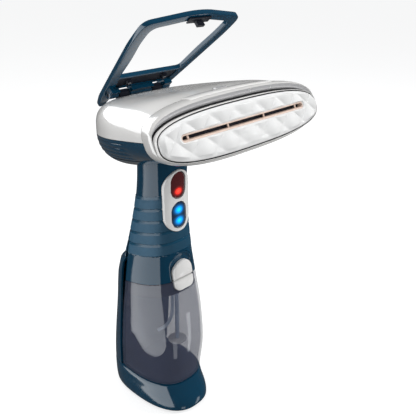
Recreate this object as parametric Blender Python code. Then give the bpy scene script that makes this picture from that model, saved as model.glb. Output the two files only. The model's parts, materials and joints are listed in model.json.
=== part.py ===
"""Handheld garment steamer with a fold-away hanging loop, built piece by piece.

Frame: +Z up, the steam plate faces -Y, and the origin is the centre of the foot's underside.
Sizes below are in millimetres. Meshes are written in metres.
"""
import bpy
import bmesh
from math import asin, cos, pi, radians, sin
from mathutils import Matrix, Vector

MM = 0.001

# ---- overall sizes (mm) ------------------------------------------------------------------
BASE_HEIGHT = 28.0          # foot, up to the deck that the tank stands on
TANK_HEIGHT = 105.0         # deck to the parting plane, on the centre line
GRIP_HEIGHT = 112.0         # parting plane to the underside of the head
HEAD_HALF_WIDTH = 87.0      # white and blue shells where they meet the front bezel
HEAD_LENGTH = 127.0         # bezel to the rounded rear end
HEAD_UP = 23.7              # seam to the top of the head
PLATE_HALF_WIDTH = HEAD_HALF_WIDTH - 0.2
PLATE_HALF_HEIGHT = 17.2
LOOP_HALF_WIDTH = 50.0      # hanging loop

# ---- walls and clearances (mm) -----------------------------------------------------------
WALL = 2.2                  # handle and head shells
TANK_WALL = 2.0
TANK_INSET = 0.25           # the tank's surface sits this far inside the handle's
LID_SKIRT = 13.0
GAP = 0.35                  # between pieces that are fixed to each other
PLAY = 0.5                  # round a piece that slides

# ---- planes that cut the handle into shells ----------------------------------------------
PARTING_TILT = 0.21         # the parting plane rises this much per mm towards the front
SEAM_TILT = 0.155           # the grip's seam leans back this much per mm downwards
SLOT_Y = 22.8               # front edge of the rear spine at the parting plane
SLOT_TILT = 0.085           # and how much it moves back per mm downwards
SLOT_WIDTH = 3.8            # dark gap between the tank and the spine
SPINE_RISE = 16.0           # spine above the parting plane
SEAM_START = 27.0           # height above the parting plane where the grip's seam meets that edge
SPINE_PROUD = 2.6           # the spine stands this far out of the grip's surface at its top
SPINE_WALL = 2.4

# ---- head --------------------------------------------------------------------------------
FACE_TILT = radians(23.4)   # the steam plate leans back
HEAD_PITCH = 0.18           # the head's seam and top rise this much per mm towards the front
SEAM_HEIGHT = 34.8          # head seam above the neck, on the centre line
PLATE_Y = -97.4             # middle of the plate's front face
PLATE_RISE = 14.6           # and its height above the head's seam on the centre line
SEAM_OFFSET = 3.0           # the head's seam is this far above the plate's middle
PLATE_EXPONENT = 2.77
BEZEL_DEPTH = 14.0
BEZEL_SETBACK = 3.0         # bezel lip behind the plate's front
SLOT_HALF_LENGTH = PLATE_HALF_WIDTH - 20.2
SLOT_HALF_HEIGHT = 1.9
SLOT_RAISE = 2.0            # steam slot above the plate's middle

# ---- controls ----------------------------------------------------------------------------
PANEL_HALF_WIDTH = 14.6
PANEL_DROP = 5.0            # top of the control panel below the head
PANEL_HEIGHT = 56.0
BUTTON_DROP = 13.5          # turbo button's middle below the top of the panel
BUTTON_PITCH = 27.2
BUTTON_HALF_WIDTH = 8.2
BUTTON_HALF_HEIGHT = 11.9
BUTTON_TRAVEL = 1.5
LENS_RADIUS = 2.6

# ---- tank fittings -----------------------------------------------------------------------
PORT_Y = -18.0              # outlet in the tank's lid

# ---- tank latch --------------------------------------------------------------------------
LATCH_HALF_WIDTH = 11.4
LATCH_RISE = 17.0           # release button above the parting plane's front edge
LUG_DROP = 10.0             # lug on the tank below it
LATCH_TRAVEL = 3.0
SPRING_LENGTH = 4.6

# ---- pump and hoses ----------------------------------------------------------------------
HOSE_X = 3.4                # steam hose to the right of the centre, inlet hose to the left
PUMP_SETBACK = 12.1         # pump's axis behind the spine's front edge at its bracket
PUMP_RADIUS = 6.6
PUMP_LIFT = 14.0            # above the deck
BRACKET_LIFT = 10.0         # its bracket above its underside

# ---- hanging loop ------------------------------------------------------------------------
HINGE_SETBACK = 20.6        # hinge axis ahead of the head's rear end
HINGE_RADIUS = 3.1
HINGE_SINK = 2.0            # barrels reach this far below the straight line of the head's top
HINGE_LIFT = HINGE_RADIUS - HINGE_SINK
BARREL_END = 33.0           # outer end of the hinge
EAR_X = 18.0                # bracket ears between the loop's three barrels
EAR_WIDTH = 10.0
BARREL_PLAY = 1.2
PIN_RADIUS = 1.5
PIN_PLAY = 0.1
CATCH_SETBACK = 30.25       # catch behind the plate's middle
LOOP_LEAN = radians(49.5)   # the loop leans forward from upright
LOOP_OFFSET = 3.6           # the loop's middle plane sits this far above the hinge axis
LOOP_THICKNESS = 4.0
LOOP_BAR = 10.0
LOOP_FOOT_HALF_WIDTH = 30.0
LOOP_FOOT_DROP = 22.0       # the loop's feet reach this far below the hinge axis
WINDOW_LOW = 22.5           # loop window above the hinge axis
WEB_DEPTH = 2.4             # pocket in the loop's front for the web
WEB_THICKNESS = 1.4
HOOK_LENGTH = 5.4
SCREW_RADIUS = 1.5

# ---- worked out from the sizes above -----------------------------------------------------
PARTING_Z = BASE_HEIGHT + TANK_HEIGHT
NECK_Z = PARTING_Z + GRIP_HEIGHT
SPINE_Z = PARTING_Z + SPINE_RISE
PUMP_Y = SLOT_Y + SLOT_TILT * (TANK_HEIGHT - PUMP_LIFT - BRACKET_LIFT) + PUMP_SETBACK
SEAM_Z = NECK_Z + SEAM_HEIGHT
TOP_Z = SEAM_Z + HEAD_UP
SHELL_DEPTH = BEZEL_DEPTH + GAP
HEAD_REAR = HEAD_LENGTH + PLATE_Y + BEZEL_DEPTH
HINGE_Y = HEAD_REAR - HINGE_SETBACK
HOOK_REACH = (HINGE_Y - PLATE_Y - CATCH_SETBACK) * (1 + HEAD_PITCH ** 2) ** 0.5
LOOP_REACH = HOOK_REACH + 7.2
WINDOW_HIGH = HOOK_REACH - 0.4
PANEL_HIGH = NECK_Z - PANEL_DROP
PANEL_LOW = PANEL_HIGH - PANEL_HEIGHT
TURBO_Z = PANEL_HIGH - BUTTON_DROP
POWER_Z = TURBO_Z - BUTTON_PITCH
PLATE_Z = SEAM_Z + PLATE_RISE

# Handle outline: height, half width, front, rear.
STATIONS = (
    (0.0, 32.0, 40.0, 58.0),
    (BASE_HEIGHT, 32.5, 34.8, 59.4),
    (BASE_HEIGHT + 0.35 * TANK_HEIGHT, 34.0, 38.1, 54.3),
    (PARTING_Z - 30.0, 32.7, 35.0, 47.0),
    (PARTING_Z, 30.0, 29.6, 41.4),
    (PARTING_Z + 40.0, 24.6, 24.2, 29.6),
    (PARTING_Z + 80.0, 21.6, 21.8, 19.4),
    (NECK_Z, 21.7, 22.6, 15.4),
    (NECK_Z + 30.0, 22.5, 23.4, 15.6),
)
BODY_POWER = 2.0 / 2.5
BODY_COUNT = 40

# Head outline: share of its length from the rear end, share of its half width, height above
# the seam, depth below it, tilt in degrees, powers of the upper and lower halves.
HEAD_STATIONS = tuple(
    (HEAD_REAR - HEAD_LENGTH * share, HEAD_HALF_WIDTH * wide, HEAD_UP - drop, down, tilt, upper, lower)
    for share, wide, drop, down, tilt, upper, lower in (
        (0.816, 0.965, 0.0, 27.0, 12.0, 3.2, 2.3),
        (0.619, 0.908, 0.0, 32.0, 4.0, 3.6, 2.1),
        (0.422, 0.793, 0.0, 36.5, 0.0, 4.0, 2.0),
        (0.265, 0.644, 0.6, 36.0, 0.0, 4.0, 2.0),
        (0.139, 0.500, 3.0, 31.0, 0.0, 3.6, 2.0),
        (0.052, 0.380, 8.0, 23.0, 0.0, 3.0, 2.0),
        (0.010, 0.230, 14.5, 13.0, 0.0, 2.4, 2.0),
        (0.000, 0.126, 18.5, 7.0, 0.0, 2.0, 2.0)))
HEAD_COUNT = 48

# ---- scene -------------------------------------------------------------------------------
for old in list(bpy.data.objects):
    bpy.data.objects.remove(old, do_unlink=True)

PARTS = bpy.data.collections.new("garment_steamer")
CUTTERS = bpy.data.collections.new("cutters")
for collection in (PARTS, CUTTERS):
    bpy.context.scene.collection.children.link(collection)


def material(name, colour, roughness, metallic=0.0, alpha=1.0):
    made = bpy.data.materials.new(name)
    made.use_nodes = True
    shader = made.node_tree.nodes["Principled BSDF"]
    shader.inputs["Base Color"].default_value = (*colour, 1.0)
    shader.inputs["Roughness"].default_value = roughness
    shader.inputs["Metallic"].default_value = metallic
    shader.inputs["Alpha"].default_value = alpha
    made.diffuse_color = (*colour, alpha)
    return made


BLUE = material("blue_plastic", (0.010, 0.062, 0.115), 0.35)
WHITE = material("white_plastic", (0.82, 0.81, 0.79), 0.22)
PEARL = material("pearl_trim", (0.58, 0.57, 0.55), 0.28, 0.3)
PLATE = material("plate_coating", (0.85, 0.85, 0.84), 0.18)
BRONZE = material("slot_metal", (0.42, 0.30, 0.22), 0.35, 1.0)
DARK = material("dark_plastic", (0.02, 0.022, 0.028), 0.45)
SMOKE = material("smoke_tank", (0.10, 0.12, 0.20), 0.05, 0.0, 0.4)
CLEAR = material("clear_tube", (0.55, 0.62, 0.72), 0.15, 0.0, 0.6)
STEEL = material("steel", (0.60, 0.60, 0.60), 0.3, 1.0)
CASTING = material("cast_aluminium", (0.50, 0.50, 0.50), 0.5, 1.0)
RUBBER = material("rubber", (0.03, 0.03, 0.03), 0.8)
RED = material("turbo_tint", (0.12, 0.005, 0.008), 0.15)
RED_LIT = material("turbo_light", (1.0, 0.03, 0.02), 0.2)
NAVY = material("power_tint", (0.004, 0.012, 0.05), 0.15)
BLUE_LIT = material("power_light", (0.0, 0.30, 1.0), 0.2)
BOARD = material("circuit_board", (0.02, 0.15, 0.05), 0.5)


# ---- general tools -----------------------------------------------------------------------
def add(name, mesh, slot=None):
    """Link a mesh as a part with a material, or as a hidden cutter without one."""
    made = bpy.data.objects.new(name, mesh)
    if slot is None:
        CUTTERS.objects.link(made)
        made.hide_render = True
        made.display_type = "WIRE"
    else:
        PARTS.objects.link(made)
        mesh.materials.append(slot)
    return made


def finish(made, sharp=40.0):
    made.data.shade_smooth()
    made.data.set_sharp_from_angle(angle=radians(sharp))
    return made


def loft(name, rings, slot=None, closed=False):
    """Skin a row of rings of equal count; the ends are capped unless the row closes on itself."""
    shape = bmesh.new()
    rows = [[shape.verts.new(point * MM) for point in ring] for ring in rings]
    pairs = list(zip(rows, rows[1:]))
    if closed:
        pairs.append((rows[-1], rows[0]))
    for lower, upper in pairs:
        for a, b, c, d in zip(lower, lower[1:] + lower[:1], upper[1:] + upper[:1], upper):
            shape.faces.new((a, b, c, d))
    if not closed:
        shape.faces.new(rows[0][::-1])
        shape.faces.new(rows[-1])
    bmesh.ops.recalc_face_normals(shape, faces=shape.faces)
    mesh = bpy.data.meshes.new(name)
    shape.to_mesh(mesh)
    shape.free()
    return finish(add(name, mesh, slot))


def primitive(name, slot, build, matrix):
    """A bmesh primitive placed by a matrix whose translation is in mm."""
    shape = bmesh.new()
    build(shape)
    bmesh.ops.scale(shape, vec=(MM, MM, MM), verts=shape.verts)
    mesh = bpy.data.meshes.new(name)
    shape.to_mesh(mesh)
    shape.free()
    made = finish(add(name, mesh, slot))
    placed = matrix.copy()
    placed.translation = placed.translation * MM
    made.matrix_world = placed
    return made


def turn(axis=(0, 0, 1), at=(0, 0, 0)):
    """Matrix that points a piece's own Z along the axis and stands it at a point in mm."""
    return Matrix.Translation(Vector(at)) @ Vector(axis).to_track_quat("Z", "Y").to_matrix().to_4x4()


def cylinder(name, radius, depth, matrix, slot=None, top=None, sides=24):
    """Cylinder or cone from z = 0 to z = depth in its own frame."""
    def build(shape):
        bmesh.ops.create_cone(shape, cap_ends=True, segments=sides, radius1=radius,
                              radius2=radius if top is None else top, depth=depth,
                              matrix=Matrix.Translation((0, 0, depth / 2)))
    return primitive(name, slot, build, matrix)


def box(name, size, matrix, slot=None, bevel=0.0):
    """Box centred on its own origin."""
    def build(shape):
        bmesh.ops.create_cube(shape, size=1.0)
        bmesh.ops.scale(shape, vec=size, verts=shape.verts)
        if bevel:
            bmesh.ops.bevel(shape, geom=shape.edges[:], offset=bevel, segments=2,
                            profile=0.5, affect="EDGES")
    return primitive(name, slot, build, matrix)


def half_space(name, point, normal, size=400.0):
    """Cutter that fills the side of a plane that the normal points to."""
    place = turn(normal, point)
    return box(name, (size, size, size), place @ Matrix.Translation((0, 0, size / 2)))


def boolean(made, cutter, operation="DIFFERENCE"):
    step = made.modifiers.new(cutter.name, "BOOLEAN")
    step.operation = operation
    step.object = cutter
    return made


def prism(name, outline, near, far, slot=None, place=None):
    """Outline in X and Z pushed along Y from near to far, or in the place's own frame."""
    rings = [[Vector((x, y, z)) for x, z in outline] for y in (near, far)]
    if place is not None:
        rings = [[place @ point for point in ring] for ring in rings]
    return loft(name, rings, slot)


def wire(name, points, radius, slot):
    """Solid rod along straight runs between the points."""
    curve = bpy.data.curves.new(name, "CURVE")
    curve.dimensions = "3D"
    curve.bevel_depth = radius * MM
    curve.bevel_resolution = 2
    curve.use_fill_caps = True
    spline = curve.splines.new("POLY")
    spline.points.add(len(points) - 1)
    for target, point in zip(spline.points, points):
        target.co = (*(point * MM), 1.0)
    made = bpy.data.objects.new(name, curve)
    PARTS.objects.link(made)
    curve.materials.append(slot)
    return made


def tube(name, points, radius, slot):
    """Solid rod along a smooth curve through the points."""
    return wire(name, smooth_path([Vector(point) for point in points]), radius, slot)


def smooth_path(points, steps=5):
    """Catmull-Rom points through the given ones."""
    if len(points) < 3:
        return points
    ends = [2 * points[0] - points[1]] + points + [2 * points[-1] - points[-2]]
    path = [points[0]]
    for a, b, c, d in zip(ends, ends[1:], ends[2:], ends[3:]):
        for step in range(1, steps + 1):
            t = step / steps
            path.append(0.5 * (2 * b + (c - a) * t + (2 * a - 5 * b + 4 * c - d) * t ** 2
                               + (3 * b - 3 * c + d - a) * t ** 3))
    return path


def power(value, exponent):
    """Signed power, for superellipses."""
    return (1 if value >= 0 else -1) * abs(value) ** exponent


def blend(table, at):
    """Smooth values between the rows of a table whose first column rises."""
    at = min(max(at, table[0][0]), table[-1][0])
    index = next(i for i in range(len(table) - 1) if at <= table[i + 1][0] + 1e-9)
    low, high = table[index], table[index + 1]
    before = table[max(index - 1, 0)]
    after = table[min(index + 2, len(table) - 1)]
    span = high[0] - low[0]
    t = (at - low[0]) / span
    values = []
    for a, b, c, d in zip(before[1:], low[1:], high[1:], after[1:]):
        slope_low = (c - a) / (high[0] - before[0]) * span
        slope_high = (d - b) / (after[0] - low[0]) * span
        values.append((2 * t ** 3 - 3 * t ** 2 + 1) * b + (t ** 3 - 2 * t ** 2 + t) * slope_low
                      + (3 * t ** 2 - 2 * t ** 3) * c + (t ** 3 - t ** 2) * slope_high)
    return values


def stadium(half_width, half_height, centre=0.0, count=8):
    """Outline with round ends, taller than wide."""
    straight = half_height - half_width
    points = []
    for side, start in ((1, 0.0), (-1, pi)):
        for step in range(count + 1):
            angle = start + pi * step / count
            points.append((half_width * cos(angle), centre + side * straight + half_width * sin(angle)))
    return points


def superellipse(half_width, half_height, exponent, count, height_below=None):
    """Outline points, counter-clockwise from +X; the lower half may have its own height."""
    below = half_height if height_below is None else height_below
    points = []
    for step in range(count):
        angle = 2 * pi * (step + 0.5) / count
        height = half_height if sin(angle) >= 0 else below
        points.append((half_width * power(cos(angle), 2 / exponent),
                       height * power(sin(angle), 2 / exponent)))
    return points


# ---- handle surface ----------------------------------------------------------------------
def body_point(angle, level, tilt=0.0, offset=0.0):
    """Point of the handle's surface, pushed out by an offset, on a plane tilted to the front."""
    z = level
    for _ in range(6):
        half, front, rear = (value + offset for value in blend(STATIONS, z))
        y = (rear - front) / 2 + (rear + front) / 2 * power(sin(angle), BODY_POWER)
        z = level - tilt * y
    return Vector((half * power(cos(angle), BODY_POWER), y, z))


def body_ring(level, tilt=0.0, offset=0.0):
    return [body_point(2 * pi * step / BODY_COUNT, level, tilt, offset) for step in range(BODY_COUNT)]


def body_solid(name, low, high, offset=0.0, slot=None, spacing=12.0):
    """Solid of the handle's shape between two heights, pushed out by an offset."""
    count = max(2, round((high - low) / spacing))
    levels = [low + (high - low) * step / count for step in range(count + 1)]
    return loft(name, [body_ring(level, 0.0, offset) for level in levels], slot)


def parting(name, lift, upper):
    """Half space above or below the parting plane, moved up by a distance."""
    normal = Vector((0, PARTING_TILT, 1)) * (1 if upper else -1)
    return half_space(name, (0, 0, PARTING_Z + lift), normal)


def slot_y(level):
    """Front edge of the rear spine at a height."""
    return SLOT_Y + SLOT_TILT * max(0.0, PARTING_Z - level)


def slot_plane(name, shift, behind):
    """Half space in front of or behind the spine's leaning front edge."""
    normal = Vector((0, 1, SLOT_TILT)) * (1 if behind else -1)
    return half_space(name, (0, SLOT_Y + shift, PARTING_Z), normal)


def seam_plane(name, shift, behind):
    """Half space in front of or behind the grip's leaning seam."""
    normal = Vector((0, 1, SEAM_TILT)) * (1 if behind else -1)
    return half_space(name, (0, SLOT_Y + shift, PARTING_Z + SEAM_START), normal)


# ---- head surface ------------------------------------------------------------------------
def seam_at(y):
    return SEAM_Z - HEAD_PITCH * y


def face(x, up, depth):
    """Point given across, up and behind the steam plate's front face."""
    back = 1.0 / cos(FACE_TILT - HEAD_PITCH)
    return Vector((x, PLATE_Y + up * sin(FACE_TILT) + depth * back * cos(HEAD_PITCH),
                   PLATE_Z + up * cos(FACE_TILT) - depth * back * sin(HEAD_PITCH)))


def face_ring(half_width, up, depth, down=None, raised=0.0, exponent=PLATE_EXPONENT):
    outline = superellipse(half_width, up, exponent, HEAD_COUNT, down)
    return [face(x, v + raised, depth) for x, v in outline]


def head_ring(row, inset):
    y, half, up, down, tilt, power_up, power_down = row
    lean = radians(tilt)
    ring = []
    for step in range(HEAD_COUNT):
        angle = 2 * pi * (step + 0.5) / HEAD_COUNT
        exponent, height = (power_up, up) if sin(angle) >= 0 else (power_down, down)
        v = (height - inset) * power(sin(angle), 2 / exponent)
        ring.append(Vector(((half - inset) * power(cos(angle), 2 / exponent),
                            y + v * sin(lean), seam_at(y) + v * cos(lean))))
    return ring


def head_solid(name, inset=0.0, depth=SHELL_DEPTH, slot=None):
    """Solid of the head's shape from a depth behind the plate to the rear, drawn in by an inset."""
    up = HEAD_UP - 0.7 - inset
    down = 24.0 - inset
    front = face_ring(HEAD_HALF_WIDTH - inset, up, depth, down, SEAM_OFFSET)
    taper = HEAD_REAR - 24.0
    rows = [(row[0] - inset, *row[1:]) if row[0] > taper else row for row in HEAD_STATIONS]
    return loft(name, [front] + [head_ring(row, min(inset, row[2] - 1.0)) for row in rows], slot)


def head_seam(name, lift, upper):
    normal = Vector((0, HEAD_PITCH, 1)) * (1 if upper else -1)
    return half_space(name, (0, 0, SEAM_Z + lift), normal, 500.0)


# ---- base, spine and inner walls ---------------------------------------------------------
def build_base():
    pad = 1.5
    rings = []
    for z, grow_side, grow_front in ((pad, -1.0, 3.0), (4.0, 0.7, 5.6), (12.0, 1.1, 6.0),
                                     (20.0, 0.6, 2.8), (BASE_HEIGHT - 1.0, 0.0, 0.0),
                                     (BASE_HEIGHT, -0.9, -0.9)):
        ring = body_ring(z)
        for point in ring:
            toward_front = max(0.0, -point.y / 40.0)
            point.x += grow_side * point.x / 32.0
            point.y -= grow_front * toward_front
        rings.append(ring)
    foot = loft("base_foot", rings, BLUE)
    boolean(foot, body_solid("foot_room", -2.0, BASE_HEIGHT - 3.0, -2.6))
    boolean(foot, cylinder("foot_wire_hole", 6.0, 20.0, turn(at=(0, 44, BASE_HEIGHT - 10.0))))
    body_solid("base_plate", pad, pad + 2.2, -4.0, BLUE)
    outline = superellipse(24.0, 36.0, 3.0, 32)
    pad_rings = [[Vector((x, y + 9.0, z)) for x, y in outline] for z in (0.0, pad - GAP)]
    loft("anti_slip_pad", pad_rings, RUBBER)


def spine_solid(name, low, high, inset, slot=None):
    """Handle shape that stands out further and further towards the spine's top."""
    rings = []
    count = 12
    for step in range(count + 1):
        level = low + (high - low) * step / count
        rise = min(1.0, max(0.0, (level - BASE_HEIGHT - 0.3 * TANK_HEIGHT) / (0.7 * TANK_HEIGHT)))
        rings.append(body_ring(level, 0.0, SPINE_PROUD * rise ** 2 - inset))
    return loft(name, rings, slot)


def build_spine():
    spine = spine_solid("rear_spine", BASE_HEIGHT + GAP, SPINE_Z, 0.0, BLUE)
    boolean(spine, spine_solid("spine_room", BASE_HEIGHT - 8.0, SPINE_Z - SPINE_WALL, SPINE_WALL))
    boolean(spine, half_space("spine_front", (0, SLOT_Y, PARTING_Z), (0, -1, 0)))
    boolean(spine, slot_plane("spine_slope", 0.0, False))
    gland_hole = turn((0, 1, 0), (0, 40.0, BASE_HEIGHT + 12.0))
    boolean(spine, cylinder("gland_hole", 5.2, 40.0, gland_hole))
    wall = body_solid("bay_wall", BASE_HEIGHT + GAP, PARTING_Z - 2.0, -SPINE_WALL - GAP, BLUE)
    boolean(wall, slot_plane("bay_front", 0.3, False))
    boolean(wall, slot_plane("bay_back", 2.3, True))
    boolean(wall, parting("bay_top", -2.0, True))


def build_grip():
    wall_room = body_solid("grip_room", PARTING_Z - 30.0, NECK_Z + 25.0, -WALL)
    front = body_solid("grip_front_shell", PARTING_Z - 12.0, NECK_Z + 8.0, 0.0, BLUE, 8.0)
    boolean(front, wall_room)
    boolean(front, parting("front_low", GAP, False))
    boolean(front, seam_plane("front_seam", -GAP, True))
    boolean(front, half_space("front_slot", (0, SLOT_Y - SLOT_WIDTH, PARTING_Z), (0, 1, 0)))
    boolean(front, prism("panel_hole", pill(GAP), -60.0, 0.0))
    boolean(front, prism("latch_hole", latch_outline(3.0, 8.0, -20.0), -60.0, 0.0))
    rear = body_solid("grip_rear_shell", PARTING_Z - 12.0, NECK_Z + 8.0, 0.0, BLUE, 8.0)
    boolean(rear, wall_room)
    boolean(rear, seam_plane("rear_seam", 0.0, False))
    boolean(rear, half_space("rear_low", (0, 0, SPINE_Z + GAP), (0, 0, -1)))
    floor = body_solid("handle_floor", PARTING_Z - 12.0, PARTING_Z + 18.0, -WALL - GAP, DARK, 6.0)
    boolean(floor, parting("floor_low", GAP, False))
    boolean(floor, parting("floor_high", GAP + 2.4, True))
    boolean(floor, half_space("floor_back", (0, SLOT_Y - SLOT_WIDTH - 3.0, 0), (0, 1, 0)))
    boolean(floor, prism("floor_front", latch_outline(3.5, 30.0, -40.0), -60.0, -16.0))
    boolean(floor, cylinder("floor_port", 6.4, 30.0, port_frame(-10.0)))


def pill(grow):
    half_height = (PANEL_HIGH - PANEL_LOW) / 2
    return stadium(PANEL_HALF_WIDTH + grow, half_height + grow, (PANEL_HIGH + PANEL_LOW) / 2)


def front_slice(name, outline, outer, inner, low, high, slot):
    """Piece of the handle's front skin inside an outline, between two offsets of its surface."""
    made = body_solid(name, low, high, outer, slot, 7.0)
    boolean(made, body_solid(name + "_back", low - 4.0, high + 4.0, inner, None, 7.0))
    boolean(made, prism(name + "_edge", outline, -60.0, -6.0), "INTERSECT")
    return made


# ---- controls ----------------------------------------------------------------------------
def build_controls():
    panel = front_slice("control_bezel", pill(0.0), 1.2, -3.2, PANEL_LOW - 4, PANEL_HIGH + 4, WHITE)
    lights = {"turbo": (RED, RED_LIT, (-5.6,)), "power": (NAVY, BLUE_LIT, (4.6, -5.2))}
    for name, centre in (("turbo", TURBO_Z), ("power", POWER_Z)):
        tint, lit, drops = lights[name]
        hole = stadium(BUTTON_HALF_WIDTH + PLAY, BUTTON_HALF_HEIGHT + PLAY, centre)
        boolean(panel, prism(name + "_hole", hole, -60.0, 0.0))
        outline = stadium(BUTTON_HALF_WIDTH, BUTTON_HALF_HEIGHT, centre)
        button = front_slice(name + "_button", outline, 0.9, -3.0, centre - 16, centre + 16, tint)
        for index, drop in enumerate(drops):
            seat = turn((0, 1, 0), (0, -40.0, centre + drop))
            lens_name = name + ("_lens" if len(drops) == 1 else ("_lens_upper", "_lens_lower")[index])
            boolean(button, cylinder(lens_name + "_seat", LENS_RADIUS + GAP, 40.0, seat))
            lens = cylinder(lens_name, LENS_RADIUS, 36.0, seat, lit)
            boolean(lens, body_solid(lens_name + "_face", centre - 18, centre + 18, 1.1), "INTERSECT")
            boolean(lens, body_solid(lens_name + "_rear", centre - 18, centre + 18, -3.0))
    board_y = -12.6
    middle = (PANEL_LOW + PANEL_HIGH) / 2
    box("control_board", (22.0, 1.6, 52.0), turn(at=(0, board_y, middle)), BOARD)
    for name, centre in (("turbo", TURBO_Z), ("power", POWER_Z)):
        face_y = body_point(-pi / 2, centre).y + 3.0 + BUTTON_TRAVEL + GAP
        depth = board_y - 0.8 - GAP - face_y
        box(name + "_switch", (6.0, depth, 6.0), turn(at=(0, face_y + depth / 2, centre)), DARK)


# ---- tank latch --------------------------------------------------------------------------
def front_edge():
    """Height of the parting plane at the handle's front."""
    return body_point(-pi / 2, PARTING_Z, PARTING_TILT).z


def latch_outline(grow, rise=0.0, low=0.0):
    """Arch, round at the top, flat at the bottom, from a height below or above the parting edge."""
    half = LATCH_HALF_WIDTH + grow
    top = front_edge() + LATCH_RISE + rise
    count = 12
    points = [(half * cos(pi * step / count), top - half + half * sin(pi * step / count))
              for step in range(count + 1)]
    return points + [(-half, front_edge() + low), (half, front_edge() + low)]


def lug_outline(grow, top=-1.2):
    """Mirror image of the arch below the parting edge."""
    half = LATCH_HALF_WIDTH + grow
    bottom = front_edge() - LUG_DROP - grow
    corner = 6.0
    count = 5
    points = [(half, front_edge() + top), (-half, front_edge() + top)]
    for side, start in ((-1, pi), (1, 1.5 * pi)):
        for step in range(count + 1):
            angle = start + pi / 2 * step / count
            points.append((side * (half - corner) + corner * cos(angle),
                           bottom + corner + corner * sin(angle)))
    return points


def build_latch():
    edge = front_edge()
    front_slice("release_button", latch_outline(0.0, 0.0, 0.8), 0.6, -3.4,
                edge - 8.0, edge + 34.0, WHITE)
    guide = front_slice("release_guide", latch_outline(3.0 - GAP, 8.0 - GAP, 1.2), -0.2, -6.5,
                        edge - 8.0, edge + 34.0, BLUE)
    boolean(guide, prism("guide_hole", latch_outline(PLAY, LATCH_TRAVEL + 1.0, -20.0), -60.0, -19.4))
    boolean(guide, parting("guide_low", GAP + 0.6, False))
    scoop = box("guide_scoop", (60.0, 20.0, 20.0), turn((0, -0.62, 1.0), (0, -34.0, edge + 20.5)))
    boolean(guide, scoop)
    front_slice("tank_lug", lug_outline(0.0), 0.8, -TANK_WALL - TANK_INSET,
                edge - 24.0, edge + 10.0, WHITE)
    coil = []
    turns = 5
    per_turn = 8
    radius = 1.6
    for step in range(turns * per_turn + 1):
        angle = 2 * pi * step / per_turn
        height = edge + 9.0 + SPRING_LENGTH * step / (turns * per_turn)
        coil.append(Vector((6.0 + radius * cos(angle), -17.0 + radius * sin(angle), height)))
    wire("release_spring", coil, 0.3, STEEL)


# ---- tank --------------------------------------------------------------------------------
def tank_ring(level, tilt, inset):
    """Front part of the handle outline closed by a straight back edge."""
    def cut(z):
        return slot_y(z) - SLOT_WIDTH - inset

    half, front, rear = (value - inset for value in blend(STATIONS, level - tilt * SLOT_Y))
    share = (cut(level - tilt * SLOT_Y) - (rear - front) / 2) / ((rear + front) / 2)
    corner = asin(power(share, 1 / BODY_POWER))
    count = 34
    ring = []
    for step in range(count + 1):
        angle = pi - corner + (pi + 2 * corner) * step / count
        ring.append(body_point(angle, level, tilt, -inset))
    right, left = ring[-1].copy(), ring[0].copy()
    for point in (right, left):
        point.y = cut(point.z)
    ring[-1], ring[0] = right, left
    back = 6
    for step in range(1, back):
        ring.append(right.lerp(left, step / back))
    return ring


def build_tank():
    floor = BASE_HEIGHT + GAP
    tilts = [(floor, 0.0), (floor + 4.0, 0.0), (floor + 16.0, 0.02), (floor + 34.0, 0.05),
             (floor + 56.0, 0.10), (floor + 78.0, 0.16), (PARTING_Z - 10.0, 0.20),
             (PARTING_Z - GAP, PARTING_TILT)]
    outer = [tank_ring(level, tilt, 1.6 if level == floor else TANK_INSET) for level, tilt in tilts]
    inner = [tank_ring(level, tilt, TANK_WALL + (1.6 if level < floor + 4.0 else TANK_INSET))
             for level, tilt in [(floor + TANK_WALL, 0.0), (floor + TANK_WALL + 4.0, 0.0)] + tilts[2:]]
    tank = loft("water_tank", outer + inner[::-1], SMOKE)
    boolean(tank, prism("lug_notch", lug_outline(GAP, 20.0), -60.0, -14.0))
    skin = TANK_WALL + TANK_INSET + GAP
    top = PARTING_Z - GAP
    lid_rings = [tank_ring(level, PARTING_TILT, inset)
                 for level, inset in ((top, skin), (top - LID_SKIRT, skin),
                                      (top - LID_SKIRT, skin + 1.8), (top - 2.4, skin + 1.8))]
    lid = loft("tank_lid", lid_rings, DARK)
    boolean(lid, cylinder("lid_port", 4.6, 30.0, port_frame(-20.0)))
    boolean(lid, cylinder("lid_filler", 9.4, 30.0, filler_frame(-15.0)))
    plug = cylinder("filler_cap", 9.0, 5.0, filler_frame(-5.2), RUBBER, sides=28)
    boolean(plug, cylinder("filler_cap_room", 7.0, 5.0, filler_frame(-7.4)))
    valve = cylinder("outlet_valve", 4.2, 9.0, port_frame(-9.6), WHITE)
    boolean(valve, cylinder("valve_bore", 2.4, 30.0, port_frame(-20.0)))
    seal = cylinder("coupler_seal", 6.0, 3.2, port_frame(0.35), RUBBER)
    boolean(seal, cylinder("seal_bore", 2.6, 30.0, port_frame(-10.0)))
    tube_top = port_point().z - 11.0
    disc_z = BASE_HEIGHT + 39.0
    tube("pickup_tube", [(0, PORT_Y, tube_top), (0, PORT_Y, disc_z + 1.9)], 1.9, CLEAR)
    cylinder("pickup_filter", 8.8, 1.6, turn(at=(0, PORT_Y, disc_z)), CLEAR, sides=28)
    left = -5.6
    tube("return_hose", [(left, PORT_Y, tube_top + 0.5), (left, PORT_Y, tube_top - 16.0),
                         (left - 0.6, PORT_Y + 1.0, tube_top - 30.0),
                         (left - 5.0, PORT_Y + 4.0, tube_top - 40.0),
                         (left - 12.0, PORT_Y + 8.0, tube_top - 44.0)], 1.6, CLEAR)


def port_point():
    """Where the tank's outlet meets the handle, on the parting plane."""
    return Vector((0, PORT_Y, PARTING_Z - PARTING_TILT * PORT_Y))


def port_frame(lift):
    normal = Vector((0, PARTING_TILT, 1)).normalized()
    return turn(normal, port_point() + normal * lift)


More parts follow.
